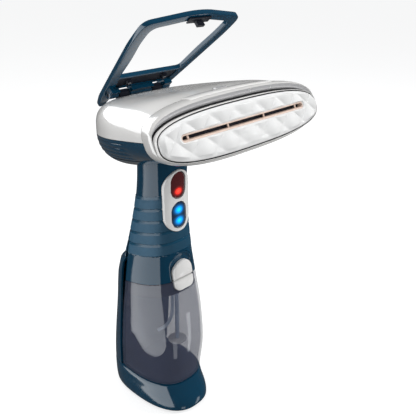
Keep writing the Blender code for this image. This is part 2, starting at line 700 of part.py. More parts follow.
def filler_frame(lift):
    normal = Vector((0, PARTING_TILT, 1)).normalized()
    point = Vector((0, 2.0, PARTING_Z - PARTING_TILT * 2.0))
    return turn(normal, point + normal * lift)


# ---- pump and hoses ----------------------------------------------------------------------
def build_pump():
    low = BASE_HEIGHT + PUMP_LIFT
    motor = 28.0
    top = low + motor + 10.0 + 2 * GAP
    cylinder("pump_motor", PUMP_RADIUS, motor, turn(at=(0, PUMP_Y, low)), STEEL, sides=28)
    cylinder("pump_head", PUMP_RADIUS, 10.0, turn(at=(0, PUMP_Y, low + motor + GAP)), DARK, sides=28)
    bracket = box("pump_bracket", (26.0, 15.6, 7.0), turn(at=(0, PUMP_Y, low + BRACKET_LIFT)), DARK)
    boolean(bracket, cylinder("bracket_bore", PUMP_RADIUS + GAP, 40.0, turn(at=(0, PUMP_Y, low - 4.0))))
    tube("steam_hose", [(HOSE_X, PUMP_Y, top), (HOSE_X, PUMP_Y - 2.0, top + 16.0),
                        (HOSE_X, 33.5, PARTING_Z - 14.0), (HOSE_X, 25.0, PARTING_Z + 3.0),
                        (HOSE_X, 14.0, PARTING_Z + 20.0), (HOSE_X, 3.0, NECK_Z - 45.0),
                        (HOSE_X, 0.0, NECK_Z - 10.0), (HOSE_X, -10.0, NECK_Z + 16.0),
                        (HOSE_X, -34.0, NECK_Z + 34.0), (HOSE_X, -58.0, NECK_Z + 40.0)], 2.0, CLEAR)
    tube("inlet_hose", [(-HOSE_X, PUMP_Y, top), (-HOSE_X, PUMP_Y - 2.0, top + 16.0),
                        (-HOSE_X, 33.5, PARTING_Z - 14.0), (-HOSE_X, 24.0, PARTING_Z + 6.0),
                        (-HOSE_X, 4.0, PARTING_Z + 14.0), (-1.5, -10.0, PARTING_Z + 11.5),
                        (0.0, -17.2, PARTING_Z + 9.4)], 1.8, CLEAR)
    gland_y = body_point(pi / 2, BASE_HEIGHT + 12.0).y
    gland = cylinder("cord_gland", 4.8, 9.0, turn((0, 1, 0), (0, gland_y - 6.0, BASE_HEIGHT + 12.0)),
                     RUBBER, top=4.2)
    boolean(gland, cylinder("gland_bore", 3.0, 30.0, turn((0, 1, 0), (0, 40.0, BASE_HEIGHT + 12.0))))


# ---- head --------------------------------------------------------------------------------
def build_head_shells():
    room = head_solid("head_room", WALL, SHELL_DEPTH - 6.0)
    neck = body_solid("neck_hole", NECK_Z - 30.0, NECK_Z + 30.0, GAP)
    lower = head_solid("head_lower_shell", 0.0, SHELL_DEPTH, BLUE)
    boolean(lower, room)
    boolean(lower, head_seam("lower_cut", 0.0, True))
    boolean(lower, neck)
    cover = head_solid("head_top_cover", 0.0, SHELL_DEPTH, WHITE)
    boolean(cover, room)
    boolean(cover, head_seam("upper_cut", GAP, False))
    boolean(cover, prism("catch_hole", catch_outline(GAP), -20.0, 20.0, None, catch_frame()))
    for side in (-1, 1):
        ear = box("ear_slot_%d" % side, (EAR_WIDTH + 2 * GAP, 2 * HINGE_RADIUS + 2 * GAP, 16.0),
                  turn(at=(side * EAR_X, HINGE_Y, top_at(HINGE_Y) - 4.0)))
        boolean(cover, ear)


def top_at(y):
    """Height of the head's top on the centre line."""
    return TOP_Z - HEAD_PITCH * y


def catch_outline(grow):
    return superellipse(6.2 + grow, 3.6 + grow, 2.2, 24)


def catch_frame():
    """Matrix on the head's top: X across, Y out of the top, Z to the rear."""
    along = Vector((0, 1, -HEAD_PITCH)).normalized()
    normal = Vector((0, HEAD_PITCH, 1)).normalized()
    made = Matrix((Vector((1, 0, 0)), normal, along)).transposed().to_4x4()
    reach = HOOK_REACH * along.y
    made.translation = Vector((0, HINGE_Y - reach, top_at(HINGE_Y - reach)))
    return made


def build_catch():
    place = catch_frame()
    cup = prism("latch_catch", catch_outline(0.0), -6.0, 0.0, PEARL, place)
    inner = [(x * 0.78, z * 0.72) for x, z in catch_outline(0.0)]
    boolean(cup, prism("catch_room", inner, -4.8, 4.0, None, place))


def build_front():
    lip = BEZEL_SETBACK
    rear_up = HEAD_UP - 0.7
    rings = [face_ring(HEAD_HALF_WIDTH, rear_up, BEZEL_DEPTH, 24.0, SEAM_OFFSET),
             face_ring(HEAD_HALF_WIDTH + 1.6, rear_up - 0.2, BEZEL_DEPTH - 6.0, 24.0, SEAM_OFFSET),
             face_ring(HEAD_HALF_WIDTH + 2.2, rear_up - 1.2, lip + 1.0, 23.2, SEAM_OFFSET),
             face_ring(HEAD_HALF_WIDTH + 1.6, rear_up - 2.2, lip, 22.4, SEAM_OFFSET),
             face_ring(PLATE_HALF_WIDTH + 1.3, PLATE_HALF_HEIGHT + 1.3, lip + 3.0, None, 0.0),
             face_ring(PLATE_HALF_WIDTH - 1.4, PLATE_HALF_HEIGHT - 0.6, lip + 6.5, None, 0.0),
             face_ring(PLATE_HALF_WIDTH - 1.4, PLATE_HALF_HEIGHT - 0.6, BEZEL_DEPTH, None, 0.0)]
    loft("front_bezel", rings, PEARL, closed=True)
    plate_back = lip + 3.0
    plate = loft("steam_plate", [
        face_ring(PLATE_HALF_WIDTH - 1.8, PLATE_HALF_HEIGHT - 1.8, 0.0),
        face_ring(PLATE_HALF_WIDTH - 0.5, PLATE_HALF_HEIGHT - 0.5, 0.7),
        face_ring(PLATE_HALF_WIDTH, PLATE_HALF_HEIGHT, 2.0),
        face_ring(PLATE_HALF_WIDTH, PLATE_HALF_HEIGHT, plate_back - 0.2)], PLATE)
    slot = stadium_across(SLOT_HALF_LENGTH, SLOT_HALF_HEIGHT)
    boolean(plate, face_prism("plate_slot", slot, 0.0, -6.0, plate_back + 12.0))
    trim = face_prism("slot_trim", slot, -GAP, 0.4, plate_back - 0.2, BRONZE)
    boolean(trim, face_prism("trim_room", slot, -1.0, -6.0, plate_back + 12.0))
    gasket_low = plate_back + GAP - 0.2
    loft("plate_gasket", [
        face_ring(PLATE_HALF_WIDTH - 2.8, PLATE_HALF_HEIGHT - 1.8, gasket_low + 1.4),
        face_ring(PLATE_HALF_WIDTH - 2.8, PLATE_HALF_HEIGHT - 1.8, gasket_low),
        face_ring(PLATE_HALF_WIDTH - 7.0, PLATE_HALF_HEIGHT - 4.6, gasket_low),
        face_ring(PLATE_HALF_WIDTH - 7.0, PLATE_HALF_HEIGHT - 4.6, gasket_low + 1.4)],
        RUBBER, closed=True)


def stadium_across(half_length, half_height):
    return [(z, x) for x, z in stadium(half_height, half_length, 0.0, 6)]


def face_prism(name, outline, grow, near, far, slot=None):
    """Outline across and up the steam plate, pushed back from near to far behind its front."""
    half_length = max(x for x, _ in outline)
    half_height = max(v for _, v in outline)
    stretch = ((half_length + grow) / half_length, (half_height + grow) / half_height)
    rings = [[face(x * stretch[0], v * stretch[1] + SLOT_RAISE, depth) for x, v in outline]
             for depth in (near, far)]
    return loft(name, rings, slot)


def build_heater():
    front = BEZEL_SETBACK + 5.0
    back = front + 14.0
    half = PLATE_HALF_WIDTH - 12.8
    chamber = loft("steam_chamber", [face_ring(half, 10.6, front), face_ring(half, 10.6, back)], CASTING)
    room = loft("chamber_room", [face_ring(half - 6.0, 7.4, depth) for depth in (front - 3.0, back - 4.0)])
    boolean(chamber, room)
    cover = loft("chamber_cover", [face_ring(half - 1.0, 10.0, back + GAP),
                                   face_ring(half - 1.0, 10.0, back + 2.0)], STEEL)
    backward = (0, 1, -HEAD_PITCH)
    inlet_radius = 2.6
    boolean(cover, cylinder("inlet_hole", inlet_radius + GAP, 24.0,
                            turn(backward, face(HOSE_X, 0.0, back - 8.0))))
    rod_depth = back + 6.0
    rod_end = half - 22.0
    rod_offset = 6.4
    bend = 12
    rod = [face(-rod_end - 6.0, rod_offset, rod_depth), face(rod_end, rod_offset, rod_depth)]
    for step in range(1, bend):
        angle = pi / 2 - pi * step / bend
        rod.append(face(rod_end + rod_offset * cos(angle), rod_offset * sin(angle), rod_depth))
    rod += [face(rod_end, -rod_offset, rod_depth), face(-rod_end - 6.0, -rod_offset, rod_depth)]
    wire("heating_element", rod, 2.4, STEEL)
    cylinder("thermostat", 6.5, 5.0, turn(backward, face(-28.0, 0.0, back + 10.0)), DARK)
    cylinder("thermal_fuse", 2.0, 12.0, turn((1, 0, 0), face(16.0, 0.0, back + 11.6)), WHITE, sides=16)
    nozzle = cylinder("chamber_inlet", inlet_radius, 9.0,
                      turn(backward, face(HOSE_X, 0.0, back + 2.6)), STEEL)
    boolean(nozzle, cylinder("inlet_bore", inlet_radius / 2, 40.0,
                             turn(backward, face(HOSE_X, 0.0, back - 8.0))))


# ---- hanging loop ------------------------------------------------------------------------
def loop_frame():
    """Matrix at the hinge: X across, Y to the loop's rear side, Z up the leaning loop."""
    up = Vector((0, -sin(LOOP_LEAN), cos(LOOP_LEAN)))
    across = Vector((1, 0, 0))
    made = Matrix((across, up.cross(across), up)).transposed().to_4x4()
    made.translation = Vector((0, HINGE_Y, top_at(HINGE_Y) + HINGE_LIFT))
    return made


def rounded(corners, steps=4):
    """Closed outline through corners given as x, z, radius."""
    points = []
    for before, corner, after in zip(corners[-1:] + corners[:-1], corners, corners[1:] + corners[:1]):
        at = Vector(corner[:2])
        back = (Vector(before[:2]) - at).normalized()
        ahead = (Vector(after[:2]) - at).normalized()
        start, end = at + back * corner[2], at + ahead * corner[2]
        for step in range(steps + 1):
            t = step / steps
            point = (1 - t) ** 2 * start + 2 * t * (1 - t) * at + t ** 2 * end
            points.append((point.x, point.y))
    return points


def mirrored(half):
    """Whole outline from its right half, given upwards."""
    return half + [(-x, z, r) for x, z, r in reversed(half)]


def loop_outline():
    foot = -LOOP_FOOT_DROP
    return rounded(mirrored([
        (25.0, 5.0, 1.0), (24.0, foot, 1.0), (LOOP_FOOT_HALF_WIDTH, foot, 3.0),
        (LOOP_FOOT_HALF_WIDTH + 5.5, foot + 14.0, 5.0), (LOOP_HALF_WIDTH - 9.0, 21.0, 8.0),
        (LOOP_HALF_WIDTH, 72.0, 10.0), (LOOP_HALF_WIDTH, LOOP_REACH - 7.8, 8.0),
        (8.0, LOOP_REACH, 7.0)]))


def window_outline():
    side = LOOP_HALF_WIDTH - LOOP_BAR
    return rounded(mirrored([
        (side - 7.0, WINDOW_LOW, 3.0), (side - 4.4, 48.0, 8.0), (side, 70.0, 8.0),
        (side, WINDOW_HIGH - 6.0, 6.0), (8.0, WINDOW_HIGH, 7.0)]))


def web_outline(grow):
    low, high = 7.8 - grow, WINDOW_LOW - 2.0 + grow
    return rounded([(-29.0 - grow, low, 3.0), (29.0 + grow, low, 3.0),
                    (32.0 + grow, high, 3.0), (-32.0 - grow, high, 3.0)])


def build_loop():
    hinge = loop_frame()
    place = hinge @ Matrix.Translation((0, LOOP_OFFSET, 0))
    across = turn((1, 0, 0)).to_3x3().to_4x4()
    front = -LOOP_THICKNESS / 2
    rear = LOOP_THICKNESS / 2
    loop = prism("hanging_frame", loop_outline(), front, rear, BLUE, place)
    boolean(loop, prism("loop_window", window_outline(), front - 5.0, rear + 5.0, None, place))
    boolean(loop, head_solid("foot_seat", -0.4, SHELL_DEPTH))
    boolean(loop, prism("web_pocket", web_outline(GAP), front - 5.0, front + WEB_DEPTH, None, place))
    inner = EAR_X - EAR_WIDTH / 2 - BARREL_PLAY
    outer = EAR_X + EAR_WIDTH / 2 + BARREL_PLAY
    for name, low, high in (("left", -BARREL_END, -outer), ("middle", -inner, inner),
                            ("right", outer, BARREL_END)):
        start = Matrix.Translation(hinge.translation + Vector((low, 0, 0)))
        barrel = cylinder("barrel_" + name, HINGE_RADIUS, high - low, start @ across)
        boolean(loop, barrel, "UNION")
        arm = [(low, 0.4), (high, 0.4), (high, 6.2), (low, 6.2)]
        boolean(loop, prism("arm_" + name, arm, -2.0, LOOP_OFFSET + rear - 0.25, None, hinge), "UNION")
    boolean(loop, axis_bore("loop_bore", hinge.translation, across))
    web_back = front + WEB_DEPTH - GAP
    cover = prism("frame_web", web_outline(0.0), web_back - WEB_THICKNESS, web_back, DARK, place)
    out = place.to_3x3() @ Vector((0, -1, 0))
    for side, name in ((-1, "left"), (1, "right")):
        spot = place @ Vector((side * 19.0, web_back - 1.0, (WINDOW_LOW + 6.0) / 2))
        boolean(cover, cylinder("boss_" + name, 2 * SCREW_RADIUS, 3.0, turn(out, spot)), "UNION")
        boolean(cover, cylinder("boss_bore_" + name, SCREW_RADIUS + GAP, 8.0,
                                turn(out, spot + out * -4.0)))
        cylinder("web_screw_" + name, SCREW_RADIUS, 3.4, turn(out, spot + out * -0.4), STEEL, sides=16)
    build_hook(place, front)
    pin_length = 2 * BARREL_END - 1.0
    pin_at = Matrix.Translation(hinge.translation + Vector((-pin_length / 2, 0, 0)))
    cylinder("hinge_pin", PIN_RADIUS, pin_length, pin_at @ across, STEEL)
    build_hinge_bracket(hinge.translation, across)


def axis_bore(name, axis, across):
    """Cutter along the hinge axis, wider than the pin by its play."""
    length = 2 * BARREL_END + 30.0
    start = Matrix.Translation(axis + Vector((-length / 2, 0, 0)))
    return cylinder(name, PIN_RADIUS + PIN_PLAY, length, start @ across)


def build_hook(place, front):
    """Latch bar on the loop's front, with the tip that goes into the catch."""
    bar = [(-11.0, HOOK_REACH - 1.4), (11.0, HOOK_REACH - 1.4), (11.0, HOOK_REACH + 4.4),
           (-11.0, HOOK_REACH + 4.4)]
    latch = prism("frame_latch", bar, front - 1.4, front - GAP, DARK, place)
    tip = [(-3.6, HOOK_REACH - 1.2), (3.6, HOOK_REACH - 1.2), (3.6, HOOK_REACH + 1.2),
           (-3.6, HOOK_REACH + 1.2)]
    boolean(latch, prism("hook_tip", tip, front - HOOK_LENGTH, front - 1.0, None, place), "UNION")


def build_hinge_bracket(axis, across):
    sill = top_at(HINGE_Y) - 2 * WALL - 6.2
    ear_depth = 2 * HINGE_RADIUS - 0.4
    length = 2 * EAR_X + EAR_WIDTH + 2.0
    bracket = box("hinge_bracket", (length, ear_depth, 2.4), turn(at=(0, HINGE_Y, sill)), DARK)
    for side in (-1, 1):
        centre = side * EAR_X
        start = Matrix.Translation(Vector((centre - EAR_WIDTH / 2, axis.y, axis.z))) @ across
        tall = axis.z - sill
        boolean(bracket, box("ear_%d" % side, (EAR_WIDTH, ear_depth, tall),
                             turn(at=(centre, axis.y, sill + tall / 2))), "UNION")
        boolean(bracket, cylinder("ear_top_%d" % side, HINGE_RADIUS, EAR_WIDTH, start), "UNION")
    boolean(bracket, axis_bore("bracket_bore_pin", axis, across))


build_base()
build_spine()
build_grip()
build_controls()
build_latch()
build_tank()
build_pump()
build_head_shells()
build_catch()
build_front()
build_heater()
build_loop()
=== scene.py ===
"""Looks of a handheld garment steamer, made around its packed frame.

Lengths in the formulas are in millimetres, and meshes are written in metres. +Z is up, the
steam plate faces -Y, and the origin is the centre of the foot's underside.
"""
import json
from math import asin, cos, pi, radians, sin, sqrt

import bmesh
import bpy
from bpy.props import FloatProperty, FloatVectorProperty, IntProperty, PointerProperty
from mathutils import Matrix, Vector


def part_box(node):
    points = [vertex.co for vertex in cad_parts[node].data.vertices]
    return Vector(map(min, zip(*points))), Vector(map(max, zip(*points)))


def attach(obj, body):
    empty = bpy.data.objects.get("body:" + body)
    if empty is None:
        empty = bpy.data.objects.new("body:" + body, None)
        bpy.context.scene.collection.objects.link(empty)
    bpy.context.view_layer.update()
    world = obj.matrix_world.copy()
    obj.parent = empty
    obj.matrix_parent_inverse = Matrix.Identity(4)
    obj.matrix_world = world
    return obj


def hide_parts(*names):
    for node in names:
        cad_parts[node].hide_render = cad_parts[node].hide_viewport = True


bl_info = {
    "name": "Handheld garment steamer",
    "version": (1, 0, 0),
    "blender": (4, 5, 0),
    "location": "3D View > Sidebar > Steamer",
    "description": "Finished shells, tank, plate, controls and hanging loop of a garment steamer",
    "category": "Object",
}

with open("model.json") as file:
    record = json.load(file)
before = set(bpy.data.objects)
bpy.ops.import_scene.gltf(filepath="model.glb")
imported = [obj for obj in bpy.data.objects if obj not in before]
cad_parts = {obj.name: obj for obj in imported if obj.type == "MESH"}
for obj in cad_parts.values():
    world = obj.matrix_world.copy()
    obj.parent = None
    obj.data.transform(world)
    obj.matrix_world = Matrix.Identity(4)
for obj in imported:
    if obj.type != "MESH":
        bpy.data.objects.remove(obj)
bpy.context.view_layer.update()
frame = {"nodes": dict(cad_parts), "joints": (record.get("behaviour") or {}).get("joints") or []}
MM = 0.001


def low(node):
    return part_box(node)[0] / MM


def high(node):
    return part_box(node)[1] / MM


# ---- sizes read from the frame (mm) --------------------------------------------------------
DECK_Z = high("base_foot").z
SPINE_TOP = high("rear_spine").z
PARTING_Z = SPINE_TOP - 16.0        # parting plane between tank and grip, on the centre line
NECK_Z = PARTING_Z + 112.0
SEAM_Z = NECK_Z + 34.8              # seam between the head's shells, on the centre line
HEAD_UP = 23.7
HEAD_HALF_WIDTH = 87.0
HEAD_REAR = high("head_lower_shell").y
PLATE_HALF_WIDTH = high("steam_plate").x
PLATE_HALF_HEIGHT = 17.2
PLATE_Y = -97.4
PLATE_Z = SEAM_Z + 14.6
HINGE = Vector(frame["joints"][0]["pos_m"]) / MM
BUTTON_MIDDLES = {name: (low(name + "_button").z + high(name + "_button").z) / 2
                  for name in ("turbo", "power")}

# ---- slopes shared by neighbouring pieces --------------------------------------------------
PARTING_TILT = 0.21
SEAM_TILT = 0.155
SLOT_Y = 22.8
SLOT_TILT = 0.085
SLOT_WIDTH = 3.8
GROOVE_TILT = 0.2
FACE_TILT = radians(23.4)
HEAD_PITCH = 0.18
SEAM_OFFSET = 3.0
BEZEL_DEPTH = 14.0
GAP = 0.35
WALL = 2.2
TANK_WALL = 2.0
TANK_INSET = 0.25
LOOP_LEAN = radians(49.5)
LOOP_OFFSET = 3.6
LOOP_HALF_WIDTH = 50.0
LOOP_BAR = 10.0
LOOP_REACH = 98.8

# Handle outline: height, half width, front, rear.
STATIONS = (
    (0.0, 32.0, 40.0, 58.0),
    (28.0, 32.5, 34.8, 59.4),
    (64.75, 34.0, 38.1, 54.3),
    (PARTING_Z - 30.0, 32.7, 35.0, 47.0),
    (PARTING_Z, 30.0, 29.6, 41.4),
    (PARTING_Z + 40.0, 24.6, 24.2, 29.6),
    (PARTING_Z + 80.0, 21.6, 21.8, 19.4),
    (NECK_Z, 21.7, 22.6, 15.4),
    (NECK_Z + 30.0, 22.5, 23.4, 15.6),
)
BODY_EXPONENT = 2.5
FACE_EXPONENT = 2.77
BODY_RING = 128
HEAD_RING = 176
EAR_X = 18.0
CAMERA_AZIMUTH = radians(-47.0)


# ---- settings ------------------------------------------------------------------------------
def length(label, about, value):
    return FloatProperty(name=label, description=about, default=value, unit="LENGTH")


def colour(label, value):
    return FloatVectorProperty(name=label, description=label + " of the steamer", subtype="COLOR",
                               size=3, min=0.0, max=1.0, default=value)


class SteamerSizes(bpy.types.PropertyGroup):
    """Sizes of the surface details."""
    groove_depth: length("Groove depth", "Depth of the grooves round the grip", 0.0009)
    groove_pitch: length("Groove pitch", "Height between two grooves", 0.011)
    rib_depth: length("Rib depth", "Depth of the ribs below the head's seam", 0.0012)
    rib_pitch: length("Rib pitch", "Height between two of those ribs", 0.0042)
    quilt_pitch: length("Quilt pitch", "Width of one diamond on the steam plate", 0.0245)
    quilt_rise: length("Quilt rise", "How far a diamond swells", 0.0021)
    slot_bars: IntProperty(name="Slot bars", description="Small bars across the steam slot",
                           default=4)
    gland_rings: IntProperty(name="Gland ribs", description="Ribs round the cord gland", default=18)


class SteamerColours(bpy.types.PropertyGroup):
    """Base colours of the finishes."""
    blue: colour("Deep blue shells", (0.0015, 0.040, 0.082))
    soft_blue: colour("Soft grip blue", (0.008, 0.062, 0.115))
    white: colour("White shells", (0.80, 0.79, 0.775))
    pearl: colour("Pearl bezel", (0.72, 0.71, 0.695))
    silver: colour("Silver funnel", (0.62, 0.62, 0.63))
    plate: colour("Steam plate", (0.83, 0.83, 0.825))
    bronze: colour("Slot trim", (0.80, 0.64, 0.55))
    dark: colour("Dark inner plastic", (0.010, 0.012, 0.020))
    smoke: colour("Smoked tank", (0.090, 0.103, 0.165))
    clear: colour("Clear tubes", (0.62, 0.72, 0.86))
    steel: colour("Steel", (0.58, 0.58, 0.59))
    casting: colour("Cast aluminium", (0.45, 0.45, 0.46))
    rubber: colour("Rubber", (0.016, 0.016, 0.018))
    red: colour("Turbo lens", (0.085, 0.006, 0.008))
    navy: colour("Power lens", (0.006, 0.022, 0.060))
    board: colour("Circuit board", (0.015, 0.12, 0.045))


def sizes():
    return bpy.context.scene.steamer_sizes


def shade(name):
    return tuple(getattr(bpy.context.scene.steamer_colours, name))


# ---- materials -----------------------------------------------------------------------------
class Nodes:
    """Node tree with short ways to add, link and calculate."""

    def __init__(self, tree):
        self.tree = tree

    def node(self, kind, **settings):
        made = self.tree.nodes.new(kind)
        for name, value in settings.items():
            setattr(made, name, value)
        return made

    def feed(self, socket, value):
        if isinstance(value, bpy.types.NodeSocket):
            self.tree.links.new(value, socket)
        else:
            socket.default_value = value

    def add(self, kind, inputs):
        """Add a node, feed its inputs by name or number, and return its first output."""
        made = self.node(kind)
        for key, value in inputs.items():
            self.feed(made.inputs[key], value)
        return made.outputs[0]

    def math(self, operation, *values):
        made = self.node("ShaderNodeMath", operation=operation)
        for socket, value in zip(made.inputs, values):
            self.feed(socket, value)
        return made.outputs[0]

    def split(self, vector):
        made = self.node("ShaderNodeSeparateXYZ")
        self.feed(made.inputs[0], vector)
        return made.outputs


class Finish(Nodes):
    """Builds one material's node tree around its Principled shader."""

    def __init__(self, name):
        self.made = bpy.data.materials.new(name)
        self.made.use_nodes = True
        super().__init__(self.made.node_tree)
        self.shader = self.tree.nodes["Principled BSDF"]
        self.place = self.node("ShaderNodeTexCoord").outputs["Object"]

    def set(self, **values):
        for name, value in values.items():
            self.feed(self.shader.inputs[NAMED.get(name, name.capitalize())], value)
        return self

    def noise(self, scale, detail=3.0, stretch=(1, 1, 1), rough=0.5):
        mapping = self.node("ShaderNodeMapping")
        mapping.inputs["Scale"].default_value = stretch
        self.feed(mapping.inputs["Vector"], self.place)
        made = self.node("ShaderNodeTexNoise")
        self.feed(made.inputs["Vector"], mapping.outputs[0])
        made.inputs["Scale"].default_value = scale
        made.inputs["Detail"].default_value = detail
        made.inputs["Roughness"].default_value = rough
        return made.outputs["Fac"]

    def ramp(self, factor, start, end):
        """Value from start to end as the factor goes from 0 to 1."""
        made = self.node("ShaderNodeMapRange")
        self.feed(made.inputs["Value"], factor)
        made.inputs["From Min"].default_value = 0.3
        made.inputs["From Max"].default_value = 0.7
        made.inputs["To Min"].default_value = start
        made.inputs["To Max"].default_value = end
        return made.outputs[0]

    def mix(self, factor, first, second):
        made = self.node("ShaderNodeMix", data_type="RGBA")
        self.feed(made.inputs["Factor"], factor)
        for socket, value in ((made.inputs["A"], first), (made.inputs["B"], second)):
            self.feed(socket, (*value, 1.0) if isinstance(value, tuple) else value)
        return made.outputs["Result"]

    def varied(self, base, amount, scale=60.0):
        """The base colour, a little lighter and darker in soft clouds."""
        dark = tuple(max(0.0, c * (1.0 - amount)) for c in base)
        light = tuple(min(1.0, c * (1.0 + amount)) for c in base)
        return self.mix(self.noise(scale), dark, light)

    def bump(self, *layers):
        """Bump from pairs of height and distance in metres."""
        normal = None
        for height, distance in layers:
            made = self.node("ShaderNodeBump")
            made.inputs["Distance"].default_value = distance
            made.inputs["Strength"].default_value = 1.0
            self.feed(made.inputs["Height"], height)
            if normal is not None:
                self.feed(made.inputs["Normal"], normal)
            normal = made.outputs["Normal"]
        self.feed(self.shader.inputs["Normal"], normal)
        return self


NAMED = {"ior": "IOR", "coat": "Coat Weight", "coat_roughness": "Coat Roughness",
         "specular": "Specular IOR Level", "base_color": "Base Color",
         "emission": "Emission Color", "glow": "Emission Strength"}
FINISHES = {}


def finish_named(name):
    """The material of that name, built when it is first asked for."""
    if name not in FINISHES:
        FINISHES[name] = MAKERS[name]() if name in MAKERS else surface(name, *SURFACES[name])
    return FINISHES[name]


def surface(key, name, cloud, rough, grain, shader):
    """Finish from one row of SURFACES, in the colour of the same key."""
    made = Finish(name)
    made.set(base_color=made.varied(shade(key), *cloud), **shader)
    made.set(roughness=made.ramp(made.noise(*rough[:2]), *rough[2:]))
    made.bump((made.noise(*grain[:2]), grain[2]))
    return made.made


def grip_blue():
    """Glossy neck and lower band, soft matte skin between them."""
    made = Finish("grip_blue")
    split = made.split(made.place)
    along = made.math("MULTIPLY_ADD", split["Y"], GROOVE_TILT, split["Z"])
    above = made.math("GREATER_THAN", along, GROOVE_LOW * MM)
    below = made.math("LESS_THAN", along, GROOVE_HIGH * MM)
    soft = made.math("MULTIPLY", above, below)
    gloss = made.varied(shade("blue"), 0.05, 45.0)
    made.set(base_color=made.mix(soft, gloss, made.varied(shade("soft_blue"), 0.08, 160.0)))
    grain = made.ramp(made.noise(900.0, 3.0), 0.50, 0.64)
    shiny = made.ramp(made.noise(260.0, 4.0), 0.07, 0.13)
    pitch = sizes().groove_pitch
    place = made.math("DIVIDE", made.math("SUBTRACT", along, GROOVE_LOW * MM), pitch)
    beside = made.math("SUBTRACT", place, made.math("ROUND", place))
    away = made.math("ABSOLUTE", made.math("ADD", beside, 0.8 * MM / pitch))
    plain_skin = made.math("GREATER_THAN", away, 1.3 * MM / pitch)
    grain = made.math("MULTIPLY_ADD", plain_skin, made.math("SUBTRACT", grain, 0.16), 0.16)
    rough = made.math("ADD", made.math("MULTIPLY", grain, soft),
                      made.math("MULTIPLY", shiny, made.math("SUBTRACT", 1.0, soft)))
    made.set(roughness=rough, specular=0.5)
    made.bump((made.math("MULTIPLY", made.noise(2600.0, 2.0), soft), 0.00005))
    return made.made


def brushed_steel():
    made = Finish("steel")
    lines = made.noise(120.0, 4.0, (1, 30, 30))
    made.set(base_color=made.varied(shade("steel"), 0.10, 90.0), metallic=1.0)
    made.set(roughness=made.ramp(lines, 0.2, 0.36))
    made.bump((lines, 0.00003))
    return made.made


def lit_lens(name, base, lights, glow, reach, strength):
    """Dark glossy lens with soft lights behind it, given by their heights in mm."""
    made = Finish(name)
    split = made.split(made.place)
    total = None
    for height in lights:
        across = made.math("POWER", made.math("DIVIDE", split["X"], reach * MM), 2.0)
        along = made.math("DIVIDE", made.math("SUBTRACT", split["Z"], height * MM),
                          0.78 * reach * MM)
        spread = made.math("ADD", across, made.math("POWER", along, 2.0))
        spot = made.math("POWER", 2.718, made.math("MULTIPLY", spread, -1.6))
        total = spot if total is None else made.math("MAXIMUM", total, spot)
    made.set(base_color=made.varied(base, 0.1, 200.0), coat=1.0, coat_roughness=0.03, specular=0.7)
    made.set(emission=(*glow, 1.0), glow=made.math("MULTIPLY", total, strength))
    made.set(roughness=made.ramp(made.noise(300.0, 3.0), 0.05, 0.12))
    made.bump((made.noise(500.0, 2.0), 0.00001))
    return made.made


GLOSS = {"coat": 0.5, "coat_roughness": 0.03, "specular": 0.5}
MATTE = {"specular": 0.4}

# Material name; amount and scale of the colour clouds; scale, detail, low and high of the
# roughness; scale, detail and distance (m) of the bump; constant shader values.
SURFACES = {
    "blue": ("deep_blue", (0.05, 45.0), (260.0, 4.0, 0.10, 0.17), (420.0, 2.0, 8e-6), GLOSS),
    "white": ("white_gloss", (0.05, 45.0), (260.0, 4.0, 0.13, 0.20), (420.0, 2.0, 8e-6), GLOSS),
    "bronze": ("slot_bronze", (0.05, 45.0), (260.0, 4.0, 0.25, 0.32), (420.0, 2.0, 8e-6), GLOSS),
    "pearl": ("pearl_trim", (0.05, 50.0), (300.0, 3.0, 0.18, 0.26), (300.0, 2.0, 3e-6),
              {"metallic": 0.15, "coat": 0.5, "coat_roughness": 0.05, "specular": 0.6}),
    "silver": ("silver_trim", (0.05, 50.0), (300.0, 3.0, 0.20, 0.28), (300.0, 2.0, 3e-6),
               {"metallic": 0.35, "specular": 0.6}),
    "plate": ("plate_ceramic", (0.02, 30.0), (300.0, 4.0, 0.14, 0.22), (700.0, 3.0, 1e-5),
              {"coat": 0.6, "coat_roughness": 0.03, "specular": 0.6}),
    "smoke": ("smoke_tank", (0.10, 25.0), (90.0, 3.0, 0.03, 0.08), (30.0, 2.0, 6e-5),
              {"alpha": 0.36, "coat": 1.0, "coat_roughness": 0.02, "specular": 0.9, "ior": 1.49}),
    "clear": ("clear_tube", (0.06, 80.0), (150.0, 3.0, 0.08, 0.2), (500.0, 2.0, 3e-5),
              {"alpha": 0.88, "specular": 0.8, "ior": 1.45}),
    "casting": ("cast_aluminium", (0.15, 200.0), (500.0, 5.0, 0.42, 0.62), (900.0, 5.0, 1e-4),
                {"metallic": 1.0}),
    "dark": ("dark_plastic", (0.15, 120.0), (1400.0 / 3, 4.0, 0.35, 0.50), (1400.0, 3.0, 4e-5),
             MATTE),
    "rubber": ("rubber", (0.15, 120.0), (300.0, 4.0, 0.60, 0.75), (900.0, 3.0, 4e-5), MATTE),
    "board": ("circuit_board", (0.15, 120.0), (500.0 / 3, 4.0, 0.40, 0.55), (500.0, 3.0, 4e-5),
              MATTE),
}
MAKERS = {
    "grip": grip_blue,
    "steel": brushed_steel,
    "red": lambda: lit_lens("turbo_lens_red", shade("red"), (BUTTON_MIDDLES["turbo"] - 5.6,),
                            (1.0, 0.035, 0.02), 3.6, 3.2),
    "navy": lambda: lit_lens("power_lens_navy", shade("navy"),
                             (BUTTON_MIDDLES["power"] + 4.6, BUTTON_MIDDLES["power"] - 5.2),
                             (0.0, 0.33, 1.0), 4.4, 3.0),
}


# ---- general tools -------------------------------------------------------------------------
def linked(name, data, finish=None):
    made = bpy.data.objects.new(name, data)
    bpy.context.scene.collection.objects.link(made)
    if finish:
        data.materials.append(finish_named(finish))
    return made


def mesh_of(name, shape):
    mesh = bpy.data.meshes.new(name)
    shape.to_mesh(mesh)
    shape.free()
    return mesh


def smoothed(made, sharp=32.0):
    made.data.shade_smooth()
    made.data.set_sharp_from_angle(angle=radians(sharp))
    return made


